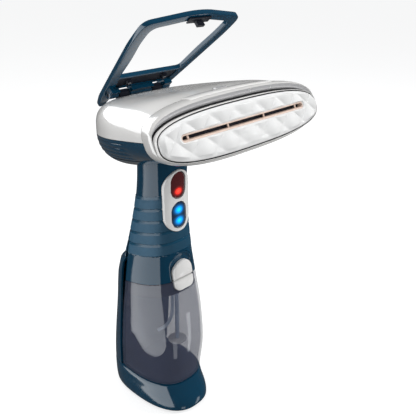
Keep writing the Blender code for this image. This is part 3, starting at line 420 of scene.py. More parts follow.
def loft(name, rings, finish=None, closed=False):
    """Skin over rows of equal count; the ends are capped unless the rows close on themselves."""
    shape = bmesh.new()
    rows = [[shape.verts.new(point * MM) for point in ring] for ring in rings]
    pairs = list(zip(rows, rows[1:]))
    if closed:
        pairs.append((rows[-1], rows[0]))
    for lower, upper in pairs:
        for quad in zip(lower, lower[1:] + lower[:1], upper[1:] + upper[:1], upper):
            shape.faces.new(quad)
    if not closed:
        shape.faces.new(rows[0][::-1])
        shape.faces.new(rows[-1])
    bmesh.ops.recalc_face_normals(shape, faces=shape.faces)
    return smoothed(linked(name, mesh_of(name, shape), finish))


def evaluated_mesh(made):
    bpy.context.view_layer.update()
    graph = bpy.context.evaluated_depsgraph_get()
    return bpy.data.meshes.new_from_object(made.evaluated_get(graph))


def plain(made, sharp=32.0):
    """Apply every modifier, and a curve becomes a mesh."""
    mesh = evaluated_mesh(made)
    name = made.name
    finish = list(made.data.materials)
    if made.type != "MESH":
        placed = made.matrix_world.copy()
        bpy.data.objects.remove(made)
        made = linked(name, mesh)
        mesh.transform(placed)
        weld(mesh)
    else:
        made.modifiers.clear()
        made.data = mesh
    if not mesh.materials and finish:
        mesh.materials.append(finish[0])
    return smoothed(made, sharp)


def weld(mesh, distance=0.00001):
    shape = bmesh.new()
    shape.from_mesh(mesh)
    bmesh.ops.remove_doubles(shape, verts=shape.verts, dist=distance)
    bmesh.ops.recalc_face_normals(shape, faces=shape.faces)
    shape.to_mesh(mesh)
    shape.free()


def carved(made, *cutters, operation="DIFFERENCE"):
    """Cut the piece with each cutter, which is then removed."""
    for cutter in cutters:
        step = made.modifiers.new(cutter.name, "BOOLEAN")
        step.operation = operation
        step.object = cutter
    plain(made)
    for cutter in cutters:
        bpy.data.objects.remove(cutter)
    return made


def primitive(name, build, matrix, finish=None):
    shape = bmesh.new()
    build(shape)
    bmesh.ops.transform(shape, matrix=Matrix.Scale(MM, 4) @ matrix, verts=shape.verts)
    return smoothed(linked(name, mesh_of(name, shape), finish))


def turn(axis=(0, 0, 1), at=(0, 0, 0)):
    facing = Vector(axis).to_track_quat("Z", "Y").to_matrix().to_4x4()
    return Matrix.Translation(Vector(at)) @ facing


def cylinder(name, radius, depth, matrix, finish=None, top=None, sides=48, edge=0.0):
    def build(shape):
        bmesh.ops.create_cone(shape, cap_ends=True, segments=sides, radius1=radius,
                              radius2=radius if top is None else top, depth=depth,
                              matrix=Matrix.Translation((0, 0, depth / 2)))
        if edge:
            rims = [e for e in shape.edges if len(e.link_faces) == 2
                    and any(len(f.verts) > 4 for f in e.link_faces)]
            bmesh.ops.bevel(shape, geom=rims, offset=edge, segments=3, profile=0.5, affect="EDGES")
    return primitive(name, build, matrix, finish)


def box(name, size, matrix, finish=None, edge=0.0):
    def build(shape):
        bmesh.ops.create_cube(shape, size=1.0)
        bmesh.ops.scale(shape, vec=size, verts=shape.verts)
        if edge:
            bmesh.ops.bevel(shape, geom=shape.edges[:], offset=edge, segments=3, profile=0.5,
                            affect="EDGES")
    return primitive(name, build, matrix, finish)


def half_space(name, point, normal, size=500.0):
    return box(name, (size, size, size), turn(normal, point) @ Matrix.Translation((0, 0, size / 2)))


def prism(name, outline, near, far):
    return loft(name, [[Vector((x, y, z)) for x, z in outline] for y in (near, far)])


def curve_of(name, lines, finish, **values):
    """Curve along lines of points in millimetres, with the curve's own settings by name."""
    curve = bpy.data.curves.new(name, "CURVE")
    for key, value in values.items():
        setattr(curve, key, value)
    for line in lines:
        spline = curve.splines.new("POLY")
        spline.points.add(len(line) - 1)
        spline.use_cyclic_u = curve.dimensions == "2D"
        for target, point in zip(spline.points, line):
            target.co = (*(point * MM), 1.0)
    return linked(name, curve, finish)


def plate_of(name, outlines, thickness, place, finish, edge):
    """Flat piece with rounded edges: the first outline is its rim, and the others are holes."""
    lines = [[Vector((x, z, 0)) for x, z in outline] for outline in outlines]
    made = curve_of(name, lines, finish, dimensions="2D", fill_mode="BOTH", bevel_depth=edge * MM,
                    bevel_resolution=3, offset=-edge * MM, extrude=(thickness / 2 - edge) * MM)
    upright = Matrix(((1, 0, 0, 0), (0, 0, -1, 0), (0, 1, 0, 0), (0, 0, 0, 1)))
    placed = place @ upright
    placed.translation = placed.translation * MM
    made.matrix_world = placed
    return plain(made)


def rod(name, points, radius, finish):
    """Round tube along a smooth curve through the points."""
    path = smooth_path([Vector(point) for point in points], 8)
    return plain(curve_of(name, [path], finish, dimensions="3D", bevel_depth=radius * MM,
                          bevel_resolution=4, use_fill_caps=True), 50.0)


def smooth_path(points, steps):
    """Catmull-Rom points through the given ones."""
    if len(points) < 3:
        return points
    ends = [2 * points[0] - points[1]] + points + [2 * points[-1] - points[-2]]
    path = [points[0]]
    for a, b, c, d in zip(ends, ends[1:], ends[2:], ends[3:]):
        for step in range(1, steps + 1):
            t = step / steps
            path.append(0.5 * (2 * b + (c - a) * t + (2 * a - 5 * b + 4 * c - d) * t ** 2
                               + (3 * b - 3 * c + d - a) * t ** 3))
    return path


def smooth_rows(rings, steps):
    """More rings between the given ones, on smooth curves through their points."""
    lines = [smooth_path(list(line), steps) for line in zip(*rings)]
    return [list(ring) for ring in zip(*lines)]


def power(value, exponent):
    return (1 if value >= 0 else -1) * abs(value) ** exponent


def blend(table, at):
    """Smooth values between the rows of a table whose first column rises."""
    at = min(max(at, table[0][0]), table[-1][0])
    index = next(i for i in range(len(table) - 1) if at <= table[i + 1][0] + 1e-9)
    start, end = table[index], table[index + 1]
    before = table[max(index - 1, 0)]
    after = table[min(index + 2, len(table) - 1)]
    span = end[0] - start[0]
    t = (at - start[0]) / span
    values = []
    for a, b, c, d in zip(before[1:], start[1:], end[1:], after[1:]):
        rise_start = (c - a) / (end[0] - before[0]) * span
        rise_end = (d - b) / (after[0] - start[0]) * span
        values.append((2 * t ** 3 - 3 * t ** 2 + 1) * b + (t ** 3 - 2 * t ** 2 + t) * rise_start
                      + (3 * t ** 2 - 2 * t ** 3) * c + (t ** 3 - t ** 2) * rise_end)
    return values


def stadium(half_width, half_height, centre=0.0, count=28):
    straight = half_height - half_width
    points = []
    for side, start in ((1, 0.0), (-1, pi)):
        for step in range(count + 1):
            angle = start + pi * step / count
            points.append((half_width * cos(angle),
                           centre + side * straight + half_width * sin(angle)))
    return points


def superellipse(half_width, up, exponent, count, down=None):
    down = up if down is None else down
    points = []
    for step in range(count):
        angle = 2 * pi * (step + 0.5) / count
        height = up if sin(angle) >= 0 else down
        points.append((half_width * power(cos(angle), 2 / exponent),
                       height * power(sin(angle), 2 / exponent)))
    return points


def rounded(corners, steps=10):
    """Closed outline through corners given as x, z, radius."""
    points = []
    for before, corner, after in zip(corners[-1:] + corners[:-1], corners,
                                     corners[1:] + corners[:1]):
        at = Vector(corner[:2])
        back = (Vector(before[:2]) - at).normalized()
        ahead = (Vector(after[:2]) - at).normalized()
        start, end = at + back * corner[2], at + ahead * corner[2]
        for step in range(steps + 1):
            t = step / steps
            point = (1 - t) ** 2 * start + 2 * t * (1 - t) * at + t ** 2 * end
            points.append((point.x, point.y))
    return points


def rounded_edges(made, width, angle, **values):
    step = made.modifiers.new("edges", "BEVEL")
    step.width = width * MM
    step.segments = 2
    step.limit_method = "ANGLE"
    step.angle_limit = radians(angle)
    for name, value in values.items():
        setattr(step, name, value)


def settle(made, body, slot, *nodes):
    """Fix the piece to its body, name its slot and hide the nodes that it stands for."""
    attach(made, body)
    if nodes:
        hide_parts(*nodes)
    return made


def softened(node, finish, slot, body, width):
    """Finer copy of a simple node, with its edges rounded."""
    mesh = frame["nodes"][node].data.copy()
    mesh.materials.clear()
    made = linked(node + "_finished", mesh, finish)
    shape = bmesh.new()
    shape.from_mesh(mesh)
    bmesh.ops.remove_doubles(shape, verts=shape.verts, dist=0.000002)
    bmesh.ops.dissolve_limit(shape, angle_limit=radians(1.5), verts=shape.verts, edges=shape.edges)
    shape.to_mesh(mesh)
    shape.free()
    rounded_edges(made, width, 38.0, use_clamp_overlap=True)
    plain(made, 38.0)
    return settle(made, body, slot, node)


# ---- handle surface ------------------------------------------------------------------------
GROOVE_LOW = PARTING_Z + 27.0       # lowest groove, on the centre line
GROOVE_HIGH = PARTING_Z + 82.5      # ledge at the top of the soft skin


def body_point(angle, level, tilt=0.0, offset=0.0):
    z = level
    for _ in range(6 if tilt else 1):
        half, front, rear = (value + offset for value in blend(STATIONS, z))
        y = (rear - front) / 2 + (rear + front) / 2 * power(sin(angle), 2 / BODY_EXPONENT)
        z = level - tilt * y
    return Vector((half * power(cos(angle), 2 / BODY_EXPONENT), y, z))


def body_ring(level, tilt=0.0, offset=0.0, count=BODY_RING):
    return [body_point(2 * pi * step / count, level, tilt, offset) for step in range(count)]


def body_solid(name, bottom, top, offset):
    count = max(2, round((top - bottom) / 5.0))
    return loft(name, [body_ring(bottom + (top - bottom) * step / count, 0.0, offset)
                       for step in range(count + 1)])


def front_y(x, z, offset):
    """The handle's front surface at a point given across and up."""
    half, front, rear = (value + offset for value in blend(STATIONS, z))
    share = max(0.0, 1.0 - abs(x / half) ** BODY_EXPONENT)
    return (rear - front) / 2 - (rear + front) / 2 * share ** (1 / BODY_EXPONENT)


def front_dome(name, outline, surface, edge, depth, finish, crown):
    """Rounded piece that follows the handle's front inside an outline."""
    half = outline_half(outline)
    profile = [(1 - share, 1 - share, surface + crown * (1 - (1 - share) ** 2))
               for share in (0.995, 0.8, 0.6, 0.4, 0.25, 0.14)]
    for step in range(7):
        angle = pi / 2 * step / 6
        inset = edge * (1 - sin(angle))
        profile.append((1 - inset / half[0], 1 - inset / half[1],
                        surface - edge * (1 - cos(angle))))
    profile += [(share, share, depth) for share in (1.0, 0.5, 0.03)]
    return front_profile(name, outline, profile, finish)


def outline_half(outline):
    width = max(x for x, _ in outline) - min(x for x, _ in outline)
    height = max(z for _, z in outline) - min(z for _, z in outline)
    return width / 2, height / 2


def front_profile(name, outline, profile, finish):
    """Solid from rows given as shares across and up, and an offset from the handle's front."""
    middle = (sum(x for x, _ in outline) / len(outline),
              (max(z for _, z in outline) + min(z for _, z in outline)) / 2)
    rings = []
    for wide, tall, offset in profile:
        ring = []
        for x, z in outline:
            across = middle[0] + (x - middle[0]) * wide
            along = middle[1] + (z - middle[1]) * tall
            ring.append(Vector((across, front_y(across, along, offset), along)))
        rings.append(ring)
    return loft(name, rings, finish)


def slot_y(level):
    return SLOT_Y + SLOT_TILT * max(0.0, PARTING_Z - level)


def under_parting(name, lift):
    return half_space(name, (0, 0, PARTING_Z + lift), (0, -PARTING_TILT, -1))


def seam_plane(name, shift, behind):
    normal = Vector((0, 1, SEAM_TILT)) * (1 if behind else -1)
    return half_space(name, (0, SLOT_Y + shift, PARTING_Z + 27.0), normal)


# ---- head surface --------------------------------------------------------------------------
def seam_at(y):
    return SEAM_Z - HEAD_PITCH * y


def face(x, up, depth):
    """Point given across, up and behind the steam plate's front face."""
    back = 1.0 / cos(FACE_TILT - HEAD_PITCH)
    return Vector((x, PLATE_Y + up * sin(FACE_TILT) + depth * back * cos(HEAD_PITCH),
                   PLATE_Z + up * cos(FACE_TILT) - depth * back * sin(HEAD_PITCH)))


def face_ring(half_width, up, depth, down=None, raised=0.0, count=HEAD_RING):
    return [face(x, v + raised, depth)
            for x, v in superellipse(half_width, up, FACE_EXPONENT, count, down)]


HEAD_LENGTH = 127.0
HEAD_STATIONS = tuple(
    (HEAD_REAR - HEAD_LENGTH * share, HEAD_HALF_WIDTH * wide, HEAD_UP - drop, down, tilt, upper,
     lower)
    for share, wide, drop, down, tilt, upper, lower in (
        (0.816, 0.965, 0.0, 27.0, 12.0, 3.2, 2.3),
        (0.619, 0.908, 0.0, 32.0, 4.0, 3.6, 2.1),
        (0.422, 0.793, 0.0, 36.5, 0.0, 4.0, 2.0),
        (0.265, 0.644, 0.6, 36.0, 0.0, 4.0, 2.0),
        (0.139, 0.500, 3.0, 31.0, 0.0, 3.6, 2.0),
        (0.052, 0.380, 8.0, 23.0, 0.0, 3.0, 2.0),
        (0.010, 0.230, 14.5, 13.0, 0.0, 2.4, 2.0),
        (0.000, 0.126, 18.5, 7.0, 0.0, 2.0, 2.0)))


def head_ring(row, inset):
    y, half, up, down, tilt, power_up, power_down = row
    lean = radians(tilt)
    ring = []
    for step in range(HEAD_RING):
        angle = 2 * pi * (step + 0.5) / HEAD_RING
        exponent, height = (power_up, up) if sin(angle) >= 0 else (power_down, down)
        v = (height - inset) * power(sin(angle), 2 / exponent)
        ring.append(Vector(((half - inset) * power(cos(angle), 2 / exponent),
                            y + v * sin(lean), seam_at(y) + v * cos(lean))))
    return ring


def head_solid(name, inset=0.0, depth=BEZEL_DEPTH + GAP, finish=None):
    front = face_ring(HEAD_HALF_WIDTH - inset, HEAD_UP - 0.7 - inset, depth, 24.0 - inset,
                      SEAM_OFFSET)
    taper = HEAD_REAR - 24.0
    rows = [(row[0] - inset, *row[1:]) if row[0] > taper else row for row in HEAD_STATIONS]
    rings = [front] + [head_ring(row, min(inset, row[2] - 1.0)) for row in rows]
    return loft(name, smooth_rows(rings, 6), finish)


def head_seam(name, lift, upper):
    normal = Vector((0, HEAD_PITCH, 1)) * (1 if upper else -1)
    return half_space(name, (0, 0, SEAM_Z + lift), normal)


def top_at(y):
    return SEAM_Z + HEAD_UP - HEAD_PITCH * y


# ---- foot, spine and grip ------------------------------------------------------------------
def base_foot():
    pad = low("base_foot").z
    table = ((pad, -1.0, 3.0), (4.0, 0.7, 5.6), (12.0, 1.1, 6.0), (20.0, 0.6, 2.8),
             (DECK_Z - 1.0, 0.0, 0.0), (DECK_Z, -0.9, -0.9))
    levels = [pad + 0.6 * step for step in range(5)]
    levels += [5.5 + 1.5 * step for step in range(14)] + [26.3, 26.8, 27.2, 27.6, 27.9, DECK_Z]
    rings = []
    for z in levels:
        side, toe = blend(table, z)
        round_in = 1.3 * max(0.0, 1.0 - (z - pad) / 2.4) ** 2
        ring = body_ring(z, 0.0, -round_in)
        for point in ring:
            point.x += side * point.x / 32.0
            point.y -= toe * max(0.0, -point.y / 40.0)
        rings.append(ring)
    foot = loft("foot_shell", rings, "blue")
    carved(foot, body_solid("foot_room", -2.0, DECK_Z - 3.0, -2.6))
    settle(foot, "housing", "blue_plastic", "base_foot")


def spine_solid(name, bottom, top, inset, finish=None):
    rings = []
    count = 44
    for step in range(count + 1):
        level = bottom + (top - bottom) * step / count
        rise = min(1.0, max(0.0, (level - DECK_Z - 31.5) / 73.5))
        round_in = 0.0 if finish is None else 1.6 * (1 - sqrt(max(0.0, 1 - max(
            0.0, (level - top + 1.6) / 1.6) ** 2)))
        rings.append(body_ring(level, 0.0, 2.6 * rise ** 2 - inset - round_in))
    return loft(name, rings, finish)


def spine_cuts(name):
    normal = Vector((0, -1, -SLOT_TILT))
    return (half_space(name + "_front", (0, SLOT_Y, PARTING_Z), (0, -1, 0)),
            half_space(name + "_slope", (0, SLOT_Y, PARTING_Z), normal))


def rear_spine():
    spine = spine_solid("spine_shell", DECK_Z + GAP, SPINE_TOP, 0.0, "blue")
    carved(spine, spine_solid("spine_room", DECK_Z - 8.0, SPINE_TOP - 2.4, 2.4),
           *spine_cuts("spine"),
           cylinder("gland_hole", 5.2, 40.0, turn((0, 1, 0), (0, 40.0, DECK_Z + 12.0))))
    rounded_edges(spine, 0.5, 50.0)
    settle(plain(spine), "housing", "blue_plastic", "rear_spine")


def grooved(point, depth, pitch):
    """Offset of the grip's skin at a height along the tilted grooves."""
    along = point.z + GROOVE_TILT * point.y
    if along > GROOVE_HIGH:
        return -0.45 * min(1.0, (along - GROOVE_HIGH) / 0.5)
    if along < GROOVE_LOW - 0.2:
        return -0.35 * min(1.0, (GROOVE_LOW - 0.2 - along) / 0.5)
    place = (along - GROOVE_LOW) / pitch
    beside = (place - round(place)) * pitch
    width = 2.0 if beside < 0 else 0.5
    fade = min(1.0, (GROOVE_HIGH - along) / 4.0)
    return -depth * fade * max(0.0, 1.0 - abs(beside) / width) ** 1.2


def grip_skin(name, finish):
    depth = sizes().groove_depth / MM
    pitch = sizes().groove_pitch / MM
    bottom, top, spacing = PARTING_Z - 12.0, NECK_Z + 8.0, 0.55
    count = round((top - bottom) / spacing)
    rings = []
    for step in range(count + 1):
        level = bottom + (top - bottom) * step / count
        ring = []
        for point in body_ring(level):
            shift = grooved(point, depth, pitch)
            centre = Vector((0, point.y * 0.3, point.z))
            ring.append(point + (point - centre).normalized() * shift)
        rings.append(ring)
    return loft(name, rings, finish)


def pill(grow, count=28):
    panel_low, panel_high = low("control_bezel").z, high("control_bezel").z
    half_height = (panel_high - panel_low) / 2
    return stadium(high("control_bezel").x + grow, half_height + grow,
                   (panel_high + panel_low) / 2, count)


def front_edge():
    return body_point(-pi / 2, PARTING_Z, PARTING_TILT).z


def arch(grow, rise=0.0, bottom=0.0, count=40):
    """Outline of the release button: round at the top, flat at the bottom."""
    half = high("release_button").x + grow
    top = front_edge() + 17.0 + rise
    points = [(half * cos(pi * step / count), top - half + half * sin(pi * step / count))
              for step in range(count + 1)]
    return points + [(-half, front_edge() + bottom), (half, front_edge() + bottom)]


def grip():
    cover = grip_skin("grip_front", "grip")
    carved(cover, body_solid("front_room", PARTING_Z - 30.0, NECK_Z + 25.0, -WALL),
           under_parting("front_low", GAP), seam_plane("front_seam", -GAP, True),
           half_space("front_slot", (0, SLOT_Y - SLOT_WIDTH, PARTING_Z), (0, 1, 0)),
           prism("panel_hole", pill(GAP), -60.0, 0.0),
           prism("latch_hole", arch(3.0, 8.0, -20.0), -60.0, 0.0))
    settle(cover, "housing", "blue_plastic", "grip_front_shell")
    cover = grip_skin("grip_rear", "grip")
    carved(cover, body_solid("rear_room", PARTING_Z - 30.0, NECK_Z + 25.0, -WALL),
           seam_plane("rear_seam", 0.0, False),
           half_space("rear_low", (0, 0, SPINE_TOP + GAP), (0, 0, -1)))
    settle(cover, "housing", "blue_plastic", "grip_rear_shell")


# ---- controls and latch --------------------------------------------------------------------
def controls():
    panel = front_dome("control_panel", pill(0.0, 40), 1.2, 1.0, -3.2, "white", 0.35)
    for name, middle in BUTTON_MIDDLES.items():
        half_width = high(name + "_button").x
        half_height = (high(name + "_button").z - low(name + "_button").z) / 2
        hole = stadium(half_width + 0.5, half_height + 0.5, middle, 32)
        carved(panel, prism(name + "_hole", hole, -60.0, 0.0))
        made = front_dome(name + "_cap", stadium(half_width, half_height, middle, 32), 0.7, 0.8,
                          -3.0,
                          "red" if name == "turbo" else "navy", 0.3)
        lenses = [node for node in sorted(frame["nodes"]) if node.startswith(name + "_lens")]
        settle(made, name, name + "_tint", name + "_button", *lenses)
    settle(panel, "housing", "white_plastic", "control_bezel")


def latch():
    edge = front_edge()
    button = front_dome("release_key", arch(0.0, 0.0, 0.8), 1.0, 1.1, -2.1, "white", 0.7)
    settle(button, "latch", "white_plastic", "release_button")
    half = high("tank_lug").x
    bottom = low("tank_lug").z
    corners = [(half, edge - 0.7, 0.6), (-half, edge - 0.7, 0.6), (-half, bottom, 6.4),
               (half, bottom, 6.4)]
    lug = front_dome("tank_catch", rounded(corners), 1.0, 0.9, -2.2, "white", 0.5)
    settle(lug, "tank", "white_plastic", "tank_lug")
    outline = arch(2.65, 7.65, -14.0)
    wide, tall = outline_half(outline)
    profile = [(0.03, 0.03, -2.5), (0.4, 0.4, -2.5), (1 - 2.2 / wide, 1 - 6.0 / tall, -2.5),
               (1 - 2.0 / wide, 1 - 4.6 / tall, -2.2), (1 - 1.6 / wide, 1 - 3.0 / tall, -1.5),
               (1 - 1.0 / wide, 1 - 1.5 / tall, -0.75), (1 - 0.5 / wide, 1 - 0.6 / tall, -0.35),
               (1 - 0.2 / wide, 1 - 0.2 / tall, -0.3), (1.0, 1.0, -0.5), (1.0, 1.0, -6.5),
               (0.4, 0.4, -6.5),
               (0.03, 0.03, -6.5)]
    guide = front_profile("latch_recess", outline, profile, "blue")
    carved(guide, under_parting("recess_low", GAP + 0.6))
    settle(guide, "housing", "blue_plastic", "release_guide")


# ---- tank ----------------------------------------------------------------------------------
def tank_ring(level, tilt, inset, count=110, back=24):
    def cut(z):
        return slot_y(z) - SLOT_WIDTH - inset

    _, front, rear = (value - inset for value in blend(STATIONS, level - tilt * SLOT_Y))
    share = (cut(level - tilt * SLOT_Y) - (rear - front) / 2) / ((rear + front) / 2)
    corner = asin(power(share, BODY_EXPONENT / 2))
    ring = [body_point(pi - corner + (pi + 2 * corner) * step / count, level, tilt, -inset)
            for step in range(count + 1)]
    right, left = ring[-1].copy(), ring[0].copy()
    for point in (right, left):
        point.y = cut(point.z)
    ring[-1], ring[0] = right, left
    for step in range(1, back):
        ring.append(right.lerp(left, step / back))
    return ring


def tank_levels():
    bottom = DECK_Z + GAP
    top = PARTING_Z - GAP
    table = ((bottom, 0.0), (bottom + 4.0, 0.0), (bottom + 16.0, 0.02), (bottom + 34.0, 0.05),
             (bottom + 56.0, 0.10), (bottom + 78.0, 0.16), (PARTING_Z - 10.0, 0.20),
             (top, PARTING_TILT))
    levels = [bottom, bottom + 0.3, bottom + 0.8, bottom + 1.5, bottom + 2.4, bottom + 3.4]
    levels += [bottom + 4.0 + (top - bottom - 4.0) * step / 26 for step in range(27)]
    return [(level, blend(table, level)[0]) for level in levels]


def water_tank():
    bottom = DECK_Z + GAP
    outer = [tank_ring(level, tilt, TANK_INSET + 2.0 * max(0.0, 1 - (level - bottom) / 3.4) ** 2)
             for level, tilt in tank_levels()]
    inner = [tank_ring(max(level, bottom + TANK_WALL), tilt,
                       TANK_WALL + TANK_INSET + 2.0 * max(0.0, 1 - (level - bottom) / 5.4) ** 2)
             for level, tilt in tank_levels()[4:]]
    tank = loft("tank_body", outer + inner[::-1], "smoke")
    half = high("tank_lug").x + GAP
    low_z, edge = low("tank_lug").z - GAP, front_edge()
    notch = rounded([(half, edge + 20.0, 0.5), (-half, edge + 20.0, 0.5), (-half, low_z, 6.5),
                     (half, low_z, 6.5)])
    carved(tank, prism("lug_notch", notch, -60.0, -14.0))
    settle(tank, "tank", "smoke_tank", "water_tank")
    skin = TANK_WALL + TANK_INSET + GAP
    top = PARTING_Z - GAP
    lid = loft("tank_top", [tank_ring(level, PARTING_TILT, inset) for level, inset in (
        (top - 0.6, skin), (top, skin + 0.6), (top, skin + 9.0), (top - 0.8, skin + 10.0),
        (top - 2.4, skin + 10.0), (top - 2.4, skin + 1.8), (top - 13.0, skin + 1.8),
        (top - 13.0, skin))], "dark", closed=True)
    core = loft("lid_core", [tank_ring(level, PARTING_TILT, inset) for level, inset in (
        (top - 2.2, skin + 9.5), (top - 0.9, skin + 9.5), (top - 0.6, skin + 10.6))], "dark")
    carved(lid, core, operation="UNION")
    carved(lid, cylinder("lid_port", 4.6, 30.0, port_frame(-20.0)),
           cylinder("lid_filler", 9.4, 30.0, filler_frame(-15.0)))
    settle(lid, "tank", "dark_plastic", "tank_lid")


PORT_Y = -18.0


def lid_frame(y, lift):
    """Matrix on the tank's tilted top at a distance from the front, raised along its normal."""
    normal = Vector((0, PARTING_TILT, 1)).normalized()
    return turn(normal, Vector((0, y, PARTING_Z - PARTING_TILT * y)) + normal * lift)


def port_frame(lift):
    return lid_frame(PORT_Y, lift)


def filler_frame(lift):
    return lid_frame(2.0, lift)


def tank_fittings():
    plug = cylinder("filler_plug", 9.0, 5.0, filler_frame(-5.2), "rubber", edge=0.6)
    carved(plug, cylinder("plug_room", 7.0, 5.0, filler_frame(-7.4)))
    settle(plug, "tank", "rubber", "filler_cap")
    valve = cylinder("valve_body", 4.2, 9.0, port_frame(-9.6), "white", edge=0.4)
    carved(valve, cylinder("valve_way", 2.4, 30.0, port_frame(-20.0)))
    settle(valve, "tank", "white_plastic", "outlet_valve")
    seal = cylinder("port_seal", 6.0, 3.2, port_frame(0.35), "rubber", edge=0.6)
    carved(seal, cylinder("seal_way", 2.6, 30.0, port_frame(-10.0)))
    settle(seal, "housing", "rubber", "coupler_seal")
    top, bottom = high("pickup_tube").z, low("pickup_tube").z
    tube = cylinder("suction_tube", 1.9, top - bottom, turn(at=(0, PORT_Y, bottom)), "clear",
                    edge=0.3)
    carved(tube, cylinder("tube_way", 1.3, 60.0, turn(at=(0, PORT_Y, bottom + 1.0))))
    settle(tube, "tank", "clear_tube", "pickup_tube")
    disc = cylinder("suction_filter", 8.8, 1.6, turn(at=(0, PORT_Y, low("pickup_filter").z)),
                    "white",
                    sides=72, edge=0.5)
    settle(disc, "tank", "clear_tube", "pickup_filter")
    left = -5.6
    points = [(left, PORT_Y, top + 0.5), (left, PORT_Y, top - 16.0),
              (left - 0.6, PORT_Y + 1.0, top - 30.0),
              (left - 5.0, PORT_Y + 4.0, top - 40.0), (left - 12.0, PORT_Y + 8.0, top - 44.0)]
    settle(rod("return_tube", points, 1.6, "clear"), "tank", "clear_tube", "return_hose")


# ---- head ----------------------------------------------------------------------------------
def ribbed(point):
    """Rounded ribs that run back along the lower shell, just below the seam."""
    depth, pitch = sizes().rib_depth / MM, sizes().rib_pitch / MM
    below = seam_at(point.y) - 2.2 - point.z
    start = -62.0
    count = 4
    if below < 0.0 or below > count * pitch or point.y < start:
        return point
    fade = min(1.0, (point.y - start) / 10.0)
    place = below / pitch
    share = place - int(place)
    cut = abs(2.0 * share - 1.0) ** 2.2
    centre = Vector((0, min(point.y, 20.0), point.z))
    return point - (point - centre).normalized() * depth * fade * cut


def head_shells():
    shell = head_solid("head_lower", finish="blue")
    step = shell.modifiers.new("fine", "SUBSURF")
    step.subdivision_type = "SIMPLE"
    step.levels = 2
    step.render_levels = 2
    plain(shell)
    for vertex in shell.data.vertices:
        vertex.co = ribbed(vertex.co / MM) * MM
    carved(shell, head_solid("lower_room", WALL, BEZEL_DEPTH - 6.0),
           head_seam("lower_cut", 0.0, True),
           body_solid("neck_hole", NECK_Z - 30.0, NECK_Z + 30.0, GAP))
    smoothed(shell, 28.0)
    settle(shell, "housing", "blue_plastic", "head_lower_shell")
    cover = head_solid("head_cover", finish="white")
    carved(cover, head_solid("upper_room", WALL, BEZEL_DEPTH - 6.0),
           head_seam("upper_cut", GAP, False),
           catch_cup("catch_hole", GAP, -20.0, 20.0))
    for side in (-1, 1):
        carved(cover, box("ear_slot", (10.7, 6.9, 16.0),
                          turn(at=(side * EAR_X, HINGE.y, top_at(HINGE.y) - 4.0))))
    settle(cover, "housing", "white_plastic", "head_top_cover")


def catch_cup(name, grow, near, far, finish=None, shrink=1.0):
    """Oval body on the head's top under the loop's hook."""
    along = Vector((0, 1, -HEAD_PITCH)).normalized()
    normal = Vector((0, HEAD_PITCH, 1)).normalized()
    y = (low("latch_catch").y + high("latch_catch").y) / 2 - 0.4
    centre = Vector((0, y, top_at(y)))
    outline = superellipse((6.2 + grow) * shrink, (3.6 + grow) * shrink, 2.2, 64)
    return loft(name, [[centre + Vector((x, 0, 0)) + along * v + normal * lift for x, v in outline]
                       for lift in (near, far)], finish)


def latch_catch():
    cup = catch_cup("catch_cup", 0.0, -6.0, 0.25, "silver")
    carved(cup, catch_cup("cup_room", 0.0, -1.6, 4.0, None, 0.86))
    settle(cup, "housing", "pearl_trim", "latch_catch")


def face_band(name, rows, finish, slot, *nodes):
    """Closed ring round the plate, from rows of width, height, depth, height below and lift."""
    band = loft(name, [face_ring(*row) for row in rows], finish, closed=True)
    settle(smoothed(band, 42.0), "housing", slot, *nodes)


def front_bezel():
    rear_up = HEAD_UP - 0.7
    lift = SEAM_OFFSET
    face_band("bezel_ring", [(wide, rear_up - drop, depth, down, lift) for wide, drop, depth,
                             down in (
        (87.0, 0.0, 14.0, 24.0), (87.9, 0.0, 11.0, 24.1), (88.6, 0.2, 8.0, 24.0),
        (89.0, 0.6, 6.0, 23.7), (89.2, 1.2, 4.4, 23.2), (88.9, 1.8, 3.5, 22.8),
        (88.3, 2.5, 3.2, 22.1), (88.1, 2.8, 3.6, 21.6), (87.6, 3.4, 8.0, 20.8),
        (86.0, 3.6, 14.0, 20.6))], "pearl", "pearl_trim", "front_bezel")
    face_band("bezel_funnel", [
        (88.2, rear_up - 2.7, 3.5, 21.8, lift), (87.9, rear_up - 3.4, 3.9, 20.4, 2.2),
        (87.75, 18.9, 5.4, 18.6, 0.6), (86.9, 18.3, 6.6, 18.2, 0.4), (86.9, 18.3, 9.0, 18.2, 0.4),
        (88.0, rear_up - 3.0, 9.0, 21.4, lift)], "silver", "pearl_trim")
    for name, raised, finish, slot, rows in (
            # The dark funnel ring is painted shade: a band in the rubber finish that stands for the
            # shade in the gap between the funnel and the white lip.
            ("funnel_seal", 0.25, "rubber", "rubber", (
                (87.8, 18.45, 7.0), (87.8, 18.45, 5.0), (87.45, 17.9, 4.5), (87.3, 17.75, 7.0))),
            ("gasket_bead", 0.0, "rubber", "rubber", (
                (87.1, 17.5, 4.0), (87.1, 17.5, 1.55), (86.3, 16.7, 1.55), (86.3, 16.7, 4.0))),
            ("plate_lip", 0.0, "white", "white_plastic", (
                (87.6, 18.0, 4.6), (87.6, 18.0, 1.6), (87.4, 17.8, 1.2), (87.1, 17.5, 1.4),
                (87.1, 17.5, 4.6)))):
        face_band(name, [(*row, None, raised) for row in rows], finish, slot)
    tongue()


